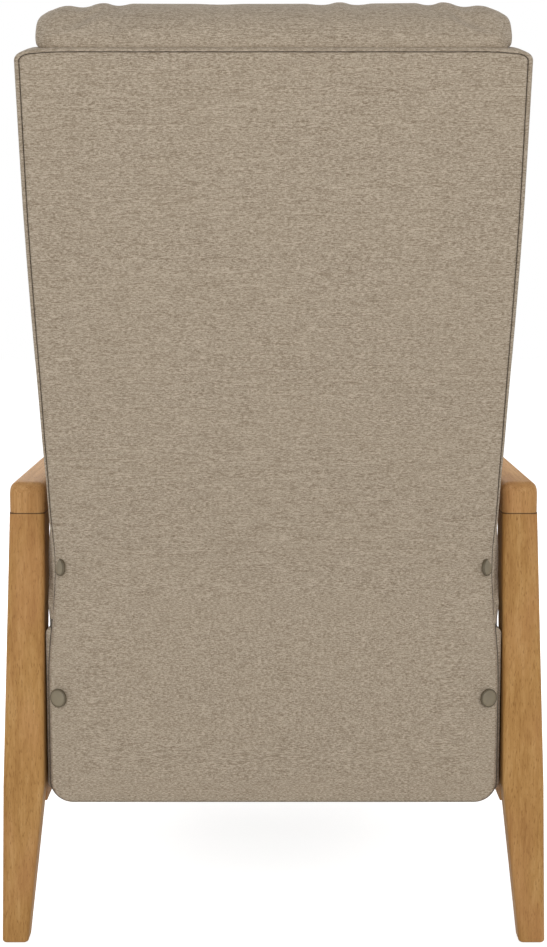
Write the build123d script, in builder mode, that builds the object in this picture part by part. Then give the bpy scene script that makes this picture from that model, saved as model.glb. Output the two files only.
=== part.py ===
from build123d import *
import os
from math import atan2, cos, degrees, radians, sin

# A wood-armed power recliner, all lengths in millimetres.
# X runs across the chair with +X at the sitter's left, Y runs from front (-) to back (+), Z is up.
# The origin is on the floor under the middle of the whole chair.

# Overall size
overall_width = 662.0
overall_depth = 906.0
back_overhang = 116.0
frame_length = 700.0
rear_foot_y = overall_depth / 2 - back_overhang
front_foot_y = rear_foot_y - frame_length

# Small clearances and shared stock
seat_gap = 0.3
pin_clearance = 0.1
overrun = 20.0
edge_round = 6.0
right_angle = 90.0

# Side frames of solid wood
arm_bottom = 522.0
arm_thickness = 37.0
arm_front_overhang = 25.0
arm_width = 43.0
arm_round = 10.0
arm_end_round = 16.0
foot_flare = 9.0
knee_flare = 1.0
inner_step = 1.0
leg_top_outer = overall_width / 2 - foot_flare
leg_top_inner = leg_top_outer - arm_width
leg_inner = leg_top_inner + inner_step
leg_knee_outer = overall_width / 2 - knee_flare
leg_knee_height = 190.0
foot_width = 31.5
foot_depth = 34.0
foot_round = 3.0
leg_top_depth = 56.0
rear_rake = 61.0
front_rake = 24.0
glide_height = 1.0
glide_radius = 11.0
rail_inset = 2.0
rail_inner = leg_top_inner + rail_inset
rail_thickness = 32.0
rail_bottom = 162.0
rail_top = 290.0

# Seat box
box_bottom = 172.0
side_air = 9.0
box_side_thickness = 22.7
box_side_outer = rail_inner - side_air
box_side_inner = box_side_outer - box_side_thickness
box_side_top = 384.0
box_front_gap = 13.0
skirt_thickness = 12.0
skirt_overlap = 3.0
skirt_taper = 6.0
skirt_half = box_side_outer + skirt_overlap
skirt_waist_half = skirt_half - skirt_taper
skirt_taper_start = 345.0
skirt_corner = 23.0
skirt_round = 7.0
rail_stock = 22.0
front_rail_depth = 32.0
front_rail_bottom = 366.0
seat_rail_setback = 219.9
rear_rail_drop = 3.0
box_rail_top = 300.0
box_rail_bottom = 186.0
spacer_radius = 11.0
bolt_radius = 4.0
bolt_head_radius = 7.0
bolt_head = 4.6
bolt_depth = 20.0
bolt_height = 245.0
front_bolt_lead = 94.0
rear_bolt_setback = 157.0
spring_wire = 3.6
seat_spring_count = 5
seat_spring_turns = 7
seat_spring_swing = 22.0
seat_spring_margin = 73.3
seat_spring_pitch = 2 * (box_side_inner - seat_spring_margin) / (seat_spring_count - 1)
spring_drop = 9.0

# Seat cushion
seat_front_setback = 13.0
seat_back_setback = 227.9
seat_overhang = 2.0
seat_half = box_side_outer + seat_overhang
seat_bottom = 388.4
seat_top = 484.0
seat_corner = 46.0
seat_draw = 6.0
seat_edge = 15.0
seat_crown = 110.0
crown_angles = (0.0, 32.0, 56.0, 74.0)

# Back, measured along its own slope from the waist
waist_z = 440.0
back_lean = 13.5
back_bottom_s = 5.0
back_height = 628.0
back_inset = 1.5
back_flare = 10.5
back_half_bottom = box_side_outer - back_inset
back_half_top = back_half_bottom + back_flare
boxing_depth = 60.0
boxing_thickness = 8.0
boxing_corner = 15.0
boxing_lip = 3.0
panel_thickness = 5.0
post_bottom_s = 22.0
post_front_t = 56.0
rail_height = 60.0
waist_y = overall_depth / 2 - back_height * sin(radians(back_lean)) + boxing_lip / 2
back_spring_count = 4
back_spring_turns = 7
back_spring_swing = 24.0
back_spring_pitch = 105.0
back_spring_low_s = 170.0

# Back hinge
hinge_setback = 72.9
pivot_z = 432.0
tube_radius = 11.0
tube_wall = 2.5
recline_angle = 35.0
bracket_lug = 20.0
bracket_reach_s = 165.0
back_crank_length = 95.0

# Steel side plates and links, in layers that stand side by side
plate_thickness = 3.0
plate_inner = box_side_inner - seat_gap - plate_thickness
link_thickness = 4.0
link_gap = 1.0
p_layer = plate_inner - link_thickness - link_gap
q_layer = p_layer - link_thickness - link_gap
ottoman_layer = q_layer - link_thickness - link_gap
link_width = 24.0
link_length = 190.0
pin_radius = 5.0
fold_angle = 10.0
swing_angle = 55.0
ottoman_turn = 82.5
low_pivot_z = 165.0
plate_margin = 17.0
plate_low_edge = 215.0
plate_high_edge = 374.0
cam_band = 20.0
link_boss = 17.0
cam_points = 15

# Footrest panel
pad_thickness = 53.0
board_thickness = 12.0
flange_thickness = 3.0
flange_width = 30.0
pivot_setback = 27.0
pad_inset = 20.0
pad_half = box_side_outer - pad_inset
pad_bottom = 156.0
pad_height = 204.0
pad_top = pad_bottom + pad_height
board_inset = 7.0
pad_corner = 20.0
pad_edge = 8.0
pad_crown = 60.0
footrest_crank_length = 75.0

# Actuators
motor_radius = 22.0
motor_length = 95.0
drive_radius = 14.0
rod_radius = 8.0
rod_clearance = 0.4
gearbox_width = 50.0
gearbox_length = 56.0
gearbox_height = 52.0
lug_radius = 19.0
lug_width = 24.0
crank_width = 7.0
crank_stock = 24.0
fork_thickness = 6.0
fork_gap = 0.6
fork_wall = 5.0
fork_depth = 28.0
slot_clearance = 1.0
footrest_drive_x = -60.0
back_drive_x = 60.0
rear_tube_setback = 195.9
front_tube_setback = 182.0

# Electrics
control_length = 120.0
control_depth = 38.0
control_height = 46.0
control_x = -120.0
control_z = 205.0
inlet_width = 18.0
inlet_height = 14.0
inlet_depth = 12.0
inlet_bore = 4.0
panel_setback = 262.0
panel_z = 345.0
panel_length = 84.0
panel_height = 30.0
panel_plate = 3.0
rocker_length = 26.0
rocker_height = 15.0
rocker_depth = 10.0
rocker_pin_radius = 1.2
rocker_pin_length = 2.0
rocker_pin_setback = 2.5
rocker_stand = 2.5
rocker_spacing = 38.0
rocker_clearance = 0.8
rocker_room = 10.0

# Snap buttons on the outside back
button_radius = 11.0
button_thickness = 4.0
lower_button_inset = 12.5
lower_button_x = skirt_half - lower_button_inset
lower_button_z = 300.0
upper_button_inset = 12.5
upper_button_x = back_half_bottom - upper_button_inset
upper_button_s = 22.0

# Soft back and pillow
back_cushion_inset = 8.5
back_cushion_half = back_half_bottom - back_cushion_inset
back_cushion_top_s = 428.0
back_cushion_thickness = 180.0
lumbar_reach = 38.0
channel_depth = 9.0
pillow_inset = 8.4
pillow_half = back_half_top - pillow_inset
pillow_crest_s = 669.5
pillow_crest_t = 77.0
pillow_rear_t = 7.0
pillow_gap = 0.8
pillow_front_t = 212.0
pillow_dip = 3.0
pillow_shoulder_shares = (0.74, 0.2)
pillow_chin_shares = (0.8, 0.05, 0.25)
pillow_blend_shares = (0.45, 0.14)
soft_corner = 26.0

# Mechanism geometry, folded
fold_step = link_length * sin(radians(fold_angle))
fold_rise = link_length * cos(radians(fold_angle))
board_back_y = -overall_depth / 2 + pad_thickness + board_thickness
flange_back_y = board_back_y + flange_thickness
lead_y = flange_back_y + pivot_setback
low_pivots = [(lead_y + (2 - index) * fold_step, low_pivot_z) for index in range(3)]
high_pivots = [(y, low_pivot_z + fold_rise) for y, z in low_pivots]

# Places along the depth: some follow the waist or the rear foot, the others the folded footrest
pivot_y = waist_y - hinge_setback
seat_rear_rail_y = waist_y - seat_rail_setback
rear_tube_y = waist_y - rear_tube_setback
rear_bolt_y = rear_foot_y - rear_bolt_setback
seat_back_y = waist_y - seat_back_setback
seat_front_y = -overall_depth / 2 + seat_front_setback
box_front_y = flange_back_y + box_front_gap
panel_y = box_front_y + panel_setback
front_bolt_y = (low_pivots[0][0] + rear_bolt_y) / 2 - front_bolt_lead
front_tube_y = low_pivots[0][0] + front_tube_setback

os.makedirs("parts", exist_ok=True)


def keep(piece, name):
    """Label one finished piece and write it."""
    piece.part.label = name
    export_step(piece.part, f"parts/{name}.step")


def between(low, high, z):
    """Y on the straight line from low to high, both (y, z), at the height z."""
    share = (z - low[1]) / (high[1] - low[1])
    return low[0] + share * (high[0] - low[0])


def turn(y, z, angle):
    """Turn the vector (y, z) about +X by an angle in degrees."""
    a = radians(angle)
    return (y * cos(a) - z * sin(a), y * sin(a) + z * cos(a))


def slab(profile, side, inner, outer, mode=Mode.ADD):
    """Add a closed (y, z) outline to the open part, from |X| = inner to |X| = outer on one side."""
    with BuildSketch(Plane.YZ.offset(side * inner), mode=Mode.PRIVATE) as face:
        with BuildLine():
            Polyline(*profile, close=True)
        make_face()
    extrude(face.sketch, amount=side * (outer - inner), mode=mode)


def disc(place, radius, side, inner, outer, mode=Mode.ADD):
    """Add a round pin, boss or hole along X at place (y, z)."""
    with BuildSketch(Plane.YZ.offset(side * inner), mode=Mode.PRIVATE) as face:
        with Locations(place):
            Circle(radius)
    extrude(face.sketch, amount=side * (outer - inner), mode=mode)


def bar(start, end, width, side, inner, outer, mode=Mode.ADD):
    """Add a round-ended flat bar from start to end, both (y, z)."""
    dy = end[0] - start[0]
    dz = end[1] - start[1]
    length = (dy ** 2 + dz ** 2) ** 0.5
    middle = ((start[0] + end[0]) / 2, (start[1] + end[1]) / 2)
    with BuildSketch(Plane.YZ.offset(side * inner), mode=Mode.PRIVATE) as face:
        with Locations(middle):
            SlotCenterToCenter(length, width, rotation=degrees(atan2(dz, dy)))
    extrude(face.sketch, amount=side * (outer - inner), mode=mode)


def block(x_range, y_range, z_range, mode=Mode.ADD):
    """Add a box between two corners."""
    with Locations((sum(x_range) / 2, sum(y_range) / 2, sum(z_range) / 2)):
        Box(x_range[1] - x_range[0], y_range[1] - y_range[0], z_range[1] - z_range[0], mode=mode)


# Wooden side frames
rear_top_y = rear_foot_y - rear_rake
front_top_y = front_foot_y + front_rake
arm_rear_y = rear_top_y
arm_front_y = front_top_y - arm_front_overhang
rear_leg_front = ((rear_foot_y - foot_depth, glide_height), (rear_top_y - leg_top_depth, arm_bottom))
front_leg_back = ((front_foot_y + foot_depth, glide_height), (front_top_y + leg_top_depth, arm_bottom))


def make_leg(side, outer_face, inner_face):
    """A tapered leg: its side view cut to its front view, with eased long edges."""
    with BuildPart() as leg:
        slab([outer_face[0], outer_face[1], inner_face[1], inner_face[0]], side, 0, overall_width)
        with BuildSketch(Plane.XZ, mode=Mode.PRIVATE) as front_view:
            with BuildLine():
                Polyline(
                    (side * (overall_width / 2 - foot_width), glide_height),
                    (side * overall_width / 2, glide_height),
                    (side * leg_knee_outer, leg_knee_height),
                    (side * leg_top_outer, arm_bottom),
                    (side * leg_top_inner, arm_bottom),
                    (side * leg_inner, leg_knee_height),
                    close=True,
                )
            make_face()
        extrude(front_view.sketch, amount=overall_depth, both=True, mode=Mode.INTERSECT)
        long_edges = leg.edges().filter_by(lambda edge: edge.length > leg_knee_height / 2)
        fillet(long_edges, radius=edge_round)
        fillet(leg.faces().sort_by(Axis.Z)[0].edges(), radius=foot_round)
    return leg


rear_leg_back = ((rear_foot_y, glide_height), (rear_top_y, arm_bottom))
front_leg_front = ((front_foot_y, glide_height), (front_top_y, arm_bottom))
for side, word in ((1, "left"), (-1, "right")):
    keep(make_leg(side, rear_leg_back, rear_leg_front), f"rear_leg_{word}")
    keep(make_leg(side, front_leg_front, front_leg_back), f"front_leg_{word}")

# Arms, level boards with rounded top edges
for side, word in ((1, "left"), (-1, "right")):
    with BuildPart() as arm:
        slab(
            [
                (arm_front_y, arm_bottom),
                (arm_rear_y, arm_bottom),
                (arm_rear_y, arm_bottom + arm_thickness),
                (arm_front_y, arm_bottom + arm_thickness),
            ],
            side,
            leg_top_inner,
            leg_top_outer,
        )
        fillet(arm.edges().filter_by(Axis.X).group_by(Axis.Z)[-1].sort_by(Axis.Y)[-1], radius=arm_end_round)
        bottom_edges = arm.faces().sort_by(Axis.Z)[0].edges()
        fillet([edge for edge in arm.edges() if edge not in bottom_edges], radius=arm_round)
    keep(arm, f"arm_{word}")

# Side rails, deep boards between the legs
for side, word in ((1, "left"), (-1, "right")):
    outline = [
        (between(*front_leg_back, rail_bottom), rail_bottom),
        (between(*front_leg_back, rail_top), rail_top),
        (between(*rear_leg_front, rail_top), rail_top),
        (between(*rear_leg_front, rail_bottom), rail_bottom),
    ]
    with BuildPart() as rail:
        slab(outline, side, rail_inner, rail_inner + rail_thickness)
        for y in (front_bolt_y, rear_bolt_y):
            disc((y, bolt_height), bolt_radius + pin_clearance, side, rail_inner - overrun,
                 rail_inner + bolt_depth, Mode.SUBTRACT)
        fillet(rail.faces().sort_by(Axis.Z)[-1].edges().filter_by(Axis.Y), radius=edge_round)
    keep(rail, f"side_rail_{word}")

# Glides under the four feet
foot_x = overall_width / 2 - foot_width / 2
with BuildPart() as leg_glides:
    for x in (foot_x, -foot_x):
        for y in (rear_foot_y - foot_depth / 2, front_foot_y + foot_depth / 2):
            with Locations((x, y, glide_height / 2)):
                Cylinder(glide_radius, glide_height)
keep(leg_glides, "leg_glides")

# Spacers and bolts that hold the seat box between the side rails
with BuildPart() as frame_spacers:
    for side in (1, -1):
        for y in (front_bolt_y, rear_bolt_y):
            disc((y, bolt_height), spacer_radius, side, box_side_outer, rail_inner)
            disc((y, bolt_height), bolt_radius + pin_clearance, side, box_side_outer - overrun,
                 rail_inner + overrun, Mode.SUBTRACT)
keep(frame_spacers, "frame_spacers")

with BuildPart() as frame_bolts:
    for side in (1, -1):
        for y in (front_bolt_y, rear_bolt_y):
            disc((y, bolt_height), bolt_head_radius, side, plate_inner - bolt_head, plate_inner)
            disc((y, bolt_height), bolt_radius, side, plate_inner, rail_inner + bolt_depth)
keep(frame_bolts, "frame_bolts")

# Seat box: two upholstered sides, cross rails, outside skirt
skirt_y = waist_y
skirt_front_y = skirt_y - skirt_thickness
rocker_places = [panel_y - rocker_spacing / 2, panel_y + rocker_spacing / 2]
window_half_height = rocker_height / 2 + rocker_clearance
window_z = (panel_z - window_half_height, panel_z + window_half_height)
rocker_axis_x = -box_side_outer + rocker_pin_setback
rocker_pin_reach = window_half_height + rocker_pin_length
for side, word in ((1, "left"), (-1, "right")):
    with BuildPart() as seat_side:
        block(
            sorted((side * box_side_inner, side * box_side_outer)),
            (box_front_y, skirt_front_y),
            (box_bottom, box_side_top),
        )
        outer_face = seat_side.faces().sort_by(Axis.X)[-1 if side > 0 else 0]
        fillet(outer_face.edges(), radius=edge_round)
        for y in (front_bolt_y, rear_bolt_y):
            disc((y, bolt_height), bolt_radius + pin_clearance, side, box_side_inner - overrun,
                 box_side_outer + overrun, Mode.SUBTRACT)
        disc((pivot_y, pivot_z), tube_radius + pin_clearance, side, box_side_inner - overrun,
             box_side_outer + overrun, Mode.SUBTRACT)
        if side < 0:
            for y in rocker_places:
                block(
                    (-box_side_outer - overrun, -box_side_outer + rocker_room),
                    (y - rocker_length / 2 - rocker_clearance, y + rocker_length / 2 + rocker_clearance),
                    window_z,
                    Mode.SUBTRACT,
                )
                with Locations((rocker_axis_x, y, panel_z)):
                    Cylinder(
                        rocker_pin_radius + pin_clearance,
                        2 * (rocker_pin_reach + pin_clearance),
                        mode=Mode.SUBTRACT,
                    )
    keep(seat_side, f"seat_side_{word}")

with BuildPart() as front_seat_rail:
    block(
        (-box_side_inner, box_side_inner),
        (box_front_y, box_front_y + front_rail_depth),
        (plate_high_edge + seat_gap, seat_bottom - seat_gap),
    )
    block(
        (-ottoman_layer + overrun, ottoman_layer - overrun),
        (box_front_y, box_front_y + front_rail_depth),
        (front_rail_bottom, plate_high_edge + seat_gap),
    )
keep(front_seat_rail, "front_seat_rail")

with BuildPart() as rear_seat_rail:
    block(
        (-plate_inner, plate_inner),
        (seat_rear_rail_y, seat_rear_rail_y + rail_stock),
        (plate_high_edge - rear_rail_drop, seat_bottom - seat_gap),
    )
    for side in (1, -1):
        block(
            sorted((side * plate_inner, side * box_side_inner)),
            (seat_rear_rail_y, seat_rear_rail_y + rail_stock),
            (plate_high_edge + seat_gap, seat_bottom - seat_gap),
        )
keep(rear_seat_rail, "rear_seat_rail")

with BuildPart() as rear_box_rail:
    block(
        (-box_side_inner, box_side_inner),
        (skirt_front_y - rail_stock, skirt_front_y),
        (box_rail_bottom, box_rail_top),
    )
keep(rear_box_rail, "rear_box_rail")


with BuildPart() as rear_skirt:
    with BuildSketch(Plane.XZ.offset(-skirt_y)) as skirt_face:
        with BuildLine():
            right_low = (-skirt_half, box_bottom + skirt_corner)
            left_low = (skirt_half, box_bottom + skirt_corner)
            Polyline(
                right_low,
                (-skirt_half, skirt_taper_start),
                (-skirt_waist_half, box_side_top),
                (skirt_waist_half, box_side_top),
                (skirt_half, skirt_taper_start),
                left_low,
            )
            RadiusArc(left_low, (skirt_half - skirt_corner, box_bottom), skirt_corner)
            Line((skirt_half - skirt_corner, box_bottom), (-skirt_half + skirt_corner, box_bottom))
            RadiusArc((-skirt_half + skirt_corner, box_bottom), right_low, skirt_corner)
        make_face()
    extrude(amount=skirt_thickness)
    rear_edges = rear_skirt.faces().sort_by(Axis.Y)[-1].edges()
    fillet(rear_edges.filter_by(lambda edge: edge.length < skirt_half), radius=skirt_round)
keep(rear_skirt, "rear_skirt")


def zigzag(start, end, turns, swing):
    """Points of a flat zigzag wire from start to end, both (a, b), on their plane."""
    step_a = (end[0] - start[0]) / turns
    step_b = (end[1] - start[1]) / turns
    length = (step_a ** 2 + step_b ** 2) ** 0.5
    side_a = -step_b / length * swing
    side_b = step_a / length * swing
    points = [start]
    for index in range(turns):
        sign = 1 if index % 2 == 0 else -1
        a = start[0] + index * step_a
        b = start[1] + index * step_b
        points.append((a + sign * side_a, b + sign * side_b))
        points.append((a + step_a + sign * side_a, b + step_b + sign * side_b))
    points.append(end)
    return points


# Zigzag springs across the seat, from the front rail to the rear rail
spring_plane = Plane.XY.offset(plate_high_edge - spring_drop / 2)
with BuildPart() as seat_springs:
    for index in range(seat_spring_count):
        x = (index - (seat_spring_count - 1) / 2) * seat_spring_pitch
        ends = (
            (x, box_front_y + front_rail_depth + spring_wire / 2 + seat_gap),
            (x, seat_rear_rail_y - spring_wire / 2 - seat_gap),
        )
        with BuildLine(spring_plane, mode=Mode.PRIVATE) as route:
            FilletPolyline(*zigzag(*ends, seat_spring_turns, seat_spring_swing), radius=2 * spring_wire)
        with BuildSketch(route.line ^ 0, mode=Mode.PRIVATE) as wire_end:
            Circle(spring_wire / 2)
        sweep(wire_end.sketch, path=route.line)
keep(seat_springs, "seat_springs")

# Lower snap buttons, on the skirt
with BuildPart() as lower_snap_buttons:
    for side in (1, -1):
        with Locations(Plane((side * lower_button_x, skirt_y, lower_button_z), z_dir=(0, 1, 0))):
            Cylinder(button_radius, button_thickness, align=(Align.CENTER, Align.CENTER, Align.MIN))
    fillet(lower_snap_buttons.faces().sort_by(Axis.Y)[-2:].edges(), radius=button_thickness / 3)
keep(lower_snap_buttons, "lower_snap_buttons")


def soft_outline(half_x, low_y, high_y, corner, draw):
    """A cushion outline with sides drawn in between rounded corners."""
    bend = corner * (1 - cos(radians(45)))
    corners = (
        ((half_x, low_y + corner), (half_x - bend, low_y + bend), (half_x - corner, low_y)),
        ((-half_x + corner, low_y), (-half_x + bend, low_y + bend), (-half_x, low_y + corner)),
        ((-half_x, high_y - corner), (-half_x + bend, high_y - bend), (-half_x + corner, high_y)),
        ((half_x - corner, high_y), (half_x - bend, high_y - bend), (half_x, high_y - corner)),
    )
    middles = (
        (0, low_y + draw),
        (-half_x + draw, (low_y + high_y) / 2),
        (0, high_y - draw),
        (half_x - draw, (low_y + high_y) / 2),
    )
    for index, (first, middle, last) in enumerate(corners):
        ThreePointArc(first, middle, last)
        ThreePointArc(last, middles[index], corners[(index + 1) % 4][0])


def crown_layers(low, high, edge, crown):
    """(height, inset) of the layers of a cushion that is rounded under and crowned on top."""
    middle = (low + high) / 2
    layers = [(low, edge), (low + edge / 2, edge / 4)]
    for angle in crown_angles:
        rise = (high - middle) * sin(radians(angle)) / sin(radians(crown_angles[-1]))
        layers.append((middle + rise, crown * (1 - cos(radians(angle)))))
    return layers


# Seat cushion: crowned top, sides drawn in between the corners
with BuildPart() as seat_cushion:
    for height, inset in crown_layers(seat_bottom, seat_top, seat_edge, seat_crown):
        with BuildSketch(Plane.XY.offset(height)):
            with BuildLine():
                soft_outline(
                    seat_half - inset,
                    seat_front_y + inset,
                    seat_back_y - inset,
                    seat_corner,
                    seat_draw,
                )
            make_face()
    loft()
keep(seat_cushion, "seat_cushion")


half_swing = swing_angle / 2
half_recline = recline_angle / 2
footrest_rise = footrest_crank_length * (1 - cos(radians(half_swing))) / 2
footrest_drive_z = low_pivot_z + footrest_crank_length - footrest_rise
back_rise = back_crank_length * (1 - cos(radians(half_recline))) / 2
back_drive_z = pivot_z - back_crank_length + back_rise


def halfway(a, b):
    """The middle of two (y, z) points."""
    return ((a[0] + b[0]) / 2, (a[1] + b[1]) / 2)


# Fixed side plates: pivot for the lower links, slot for the sliding pin, lug for the back hinge
slide_low = low_pivot_z + link_length * cos(radians(fold_angle + swing_angle))
plate_outer = plate_inner + plate_thickness
for side, word in ((1, "left"), (-1, "right")):
    first_y = low_pivots[0][0]
    plate_outline = [
        (first_y - plate_margin, low_pivot_z - plate_margin),
        (first_y + plate_margin, low_pivot_z - plate_margin),
        (first_y + plate_margin + rear_rake, plate_low_edge),
        (rear_bolt_y + plate_margin, plate_low_edge),
        (pivot_y + bracket_lug, plate_high_edge - rear_rake),
        (pivot_y + bracket_lug, pivot_z),
        (pivot_y - bracket_lug, pivot_z),
        (pivot_y - bracket_lug, plate_high_edge),
        (first_y - plate_margin, plate_high_edge),
    ]
    with BuildPart() as mechanism_plate:
        slab(plate_outline, side, plate_inner, plate_outer)
        disc((pivot_y, pivot_z), bracket_lug, side, plate_inner, plate_outer)
        disc((pivot_y, pivot_z), tube_radius + pin_clearance, side, plate_inner - overrun,
             plate_outer + overrun, Mode.SUBTRACT)
        disc(low_pivots[0], tube_radius + pin_clearance, side, plate_inner - overrun,
             plate_outer + overrun, Mode.SUBTRACT)
        bar((first_y, slide_low), high_pivots[0], 2 * (pin_radius + slot_clearance), side,
            plate_inner - overrun, plate_outer + overrun, Mode.SUBTRACT)
        for y in (front_bolt_y, rear_bolt_y):
            disc((y, bolt_height), bolt_radius + pin_clearance, side, plate_inner - overrun,
                 plate_outer + overrun, Mode.SUBTRACT)
    keep(mechanism_plate, f"mechanism_plate_{word}")


def make_tube(place):
    """A cross tube between the two side plates."""
    with BuildPart() as tube:
        disc(place, tube_radius, 1, -plate_inner, plate_inner)
        disc(place, tube_radius - tube_wall, 1, -plate_inner - overrun, plate_inner + overrun,
             Mode.SUBTRACT)
    return tube


keep(make_tube((front_tube_y, back_drive_z)), "front_cross_tube")
keep(make_tube((rear_tube_y, footrest_drive_z)), "rear_cross_tube")

# Linear actuators: gearbox on a cross tube, motor beside it, tube and sliding rod in line
footrest_yoke_y = low_pivots[0][0] + footrest_crank_length * sin(radians(half_swing))
footrest_travel = 2 * footrest_crank_length * sin(radians(half_swing))
back_yoke_y = pivot_y + back_crank_length * sin(radians(half_recline))
back_travel = 2 * back_crank_length * sin(radians(half_recline))


def make_gearbox(x, z, tube_y, towards):
    """Gearbox housing with a lug that the cross tube runs through. towards is the rod's way on Y."""
    near = tube_y + towards * (tube_radius + seat_gap)
    with BuildPart() as gearbox:
        block(
            (x - gearbox_width / 2, x + gearbox_width / 2),
            sorted((near, near + towards * gearbox_length)),
            (z - gearbox_height / 2, z + gearbox_height / 2),
        )
        fillet(gearbox.edges(), radius=edge_round / 2)
        disc((tube_y, z), lug_radius, 1, x - lug_width / 2, x + lug_width / 2)
        disc((tube_y, z), tube_radius + pin_clearance, 1, x - gearbox_width, x + gearbox_width,
             Mode.SUBTRACT)
    return gearbox


def make_motor(x, z, tube_y, towards, side):
    """Motor can lying across the chair, against the side of its gearbox."""
    middle = tube_y + towards * (tube_radius + seat_gap + gearbox_length / 2)
    with BuildPart() as motor:
        start = x + side * gearbox_width / 2
        disc((middle, z), motor_radius, 1, start, start + side * motor_length)
        fillet(motor.edges(), radius=edge_round / 2)
    return motor


def make_drive_tube(x, z, tube_y, towards, end_y):
    """Outer tube of the actuator, from the gearbox face to end_y."""
    near = tube_y + towards * (tube_radius + seat_gap + gearbox_length)
    with BuildPart() as drive:
        for radius, mode in ((drive_radius, Mode.ADD), (rod_radius + rod_clearance, Mode.SUBTRACT)):
            with BuildSketch(Plane.XZ.offset(-near), mode=Mode.PRIVATE) as ring:
                with Locations((x, z)):
                    Circle(radius)
            extrude(ring.sketch, amount=near - end_y, mode=mode)
    return drive


def make_rod(x, z, yoke_y, end_y, towards, rise):
    """Sliding rod with a forked end whose upright slots take the crank pin as it rises and falls."""
    ear = crank_width / 2 + fork_gap
    web_y = yoke_y - towards * (fork_depth + crank_stock) / 2
    slot = 2 * (pin_radius + slot_clearance)
    half_height = rise + slot / 2 + fork_wall
    with BuildPart() as rod:
        with BuildSketch(Plane.XZ.offset(-web_y), mode=Mode.PRIVATE) as section:
            with Locations((x, z)):
                Circle(rod_radius)
        extrude(section.sketch, amount=web_y - end_y)
        for sign in (1, -1):
            block(
                sorted((x + sign * ear, x + sign * (ear + fork_thickness))),
                sorted((web_y, yoke_y + towards * fork_depth / 2)),
                (z - half_height, z + half_height),
            )
        block(
            (x - ear, x + ear),
            sorted((web_y, web_y + towards * fork_wall)),
            (z - half_height, z + half_height),
        )
        bar((yoke_y, z - rise), (yoke_y, z + rise), slot, 1, x - gearbox_width, x + gearbox_width,
            Mode.SUBTRACT)
    return rod


rod_hidden = overrun
footrest_tube_end = footrest_yoke_y + crank_stock + fork_depth
back_tube_end = back_yoke_y - back_travel - crank_stock - fork_depth
keep(make_gearbox(footrest_drive_x, footrest_drive_z, rear_tube_y, -1), "footrest_gearbox")
keep(make_motor(footrest_drive_x, footrest_drive_z, rear_tube_y, -1, -1), "footrest_motor")
keep(
    make_drive_tube(footrest_drive_x, footrest_drive_z, rear_tube_y, -1, footrest_tube_end),
    "footrest_drive_tube",
)
keep(
    make_rod(
        footrest_drive_x,
        footrest_drive_z,
        footrest_yoke_y,
        footrest_tube_end + footrest_travel + rod_hidden,
        -1,
        footrest_rise,
    ),
    "footrest_drive_rod",
)
keep(make_gearbox(back_drive_x, back_drive_z, front_tube_y, 1), "back_gearbox")
keep(make_motor(back_drive_x, back_drive_z, front_tube_y, 1, 1), "back_motor")
keep(make_drive_tube(back_drive_x, back_drive_z, front_tube_y, 1, back_tube_end), "back_drive_tube")
keep(
    make_rod(back_drive_x, back_drive_z, back_yoke_y, back_tube_end - rod_hidden, 1, back_rise),
    "back_drive_rod",
)

# Control box on the rear box rail, with the low-voltage inlet under it
control_y = skirt_front_y - rail_stock
with BuildPart() as control_box:
    block(
        (control_x - control_length / 2, control_x + control_length / 2),
        (control_y - control_depth, control_y),
        (control_z, control_z + control_height),
    )
    fillet(control_box.edges().filter_by(Axis.Z), radius=edge_round / 2)
keep(control_box, "control_box")

with BuildPart() as power_inlet:
    block(
        (control_x - inlet_width / 2, control_x + inlet_width / 2),
        (control_y - control_depth / 2 - inlet_height / 2, control_y - control_depth / 2 + inlet_height / 2),
        (control_z - inlet_depth, control_z),
    )
    with BuildSketch(Plane.XY.offset(control_z - inlet_depth)):
        with Locations((control_x, control_y - control_depth / 2)):
            Circle(inlet_bore)
    extrude(amount=inlet_depth - tube_wall, mode=Mode.SUBTRACT)
keep(power_inlet, "power_inlet")

# Switch panel on the sitter's right, with a rocker for the back and one for the footrest
panel_outer = box_side_outer + panel_plate
with BuildPart() as switch_panel:
    block(
        (-panel_outer, -box_side_outer),
        (panel_y - panel_length / 2, panel_y + panel_length / 2),
        (panel_z - panel_height / 2, panel_z + panel_height / 2),
    )
    fillet(switch_panel.edges().filter_by(Axis.X), radius=edge_round)
    fillet(switch_panel.faces().sort_by(Axis.X)[0].edges(), radius=panel_plate / 3)
    for y in rocker_places:
        block(
            (-panel_outer - overrun, -box_side_outer + overrun),
            (y - rocker_length / 2 - rocker_clearance, y + rocker_length / 2 + rocker_clearance),
            window_z,
            Mode.SUBTRACT,
        )
keep(switch_panel, "switch_panel")

for y, word in zip(rocker_places, ("footrest_rocker", "back_rocker")):
    face_x = -panel_outer - rocker_stand
    with BuildPart() as rocker:
        block(
            (face_x, face_x + rocker_depth),
            (y - rocker_length / 2, y + rocker_length / 2),
            (panel_z - rocker_height / 2, panel_z + rocker_height / 2),
        )
        fillet(rocker.faces().sort_by(Axis.X)[0].edges(), radius=panel_plate / 3)
        with Locations((rocker_axis_x, y, panel_z)):
            Cylinder(rocker_pin_radius, 2 * rocker_pin_reach)
    keep(rocker, word)

# Back, drawn on the plane of its rear face: x is X, y runs up the slope, the normal points forward
up_y, up_z = turn(0, 1, -back_lean)
back_face = Plane(origin=(0, waist_y, waist_z), x_dir=(1, 0, 0), z_dir=(0, -up_z, up_y))


def on_back(t, s):
    """The (y, z) of a point t in front of the rear face and s up the slope from the waist."""
    return (waist_y + s * up_y - t * up_z, waist_z + s * up_z + t * up_y)


def back_half(s):
    """Half the width of the back at s up the slope."""
    share = (s - back_bottom_s) / (back_height - back_bottom_s)
    return back_half_bottom + share * (back_half_top - back_half_bottom)


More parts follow.
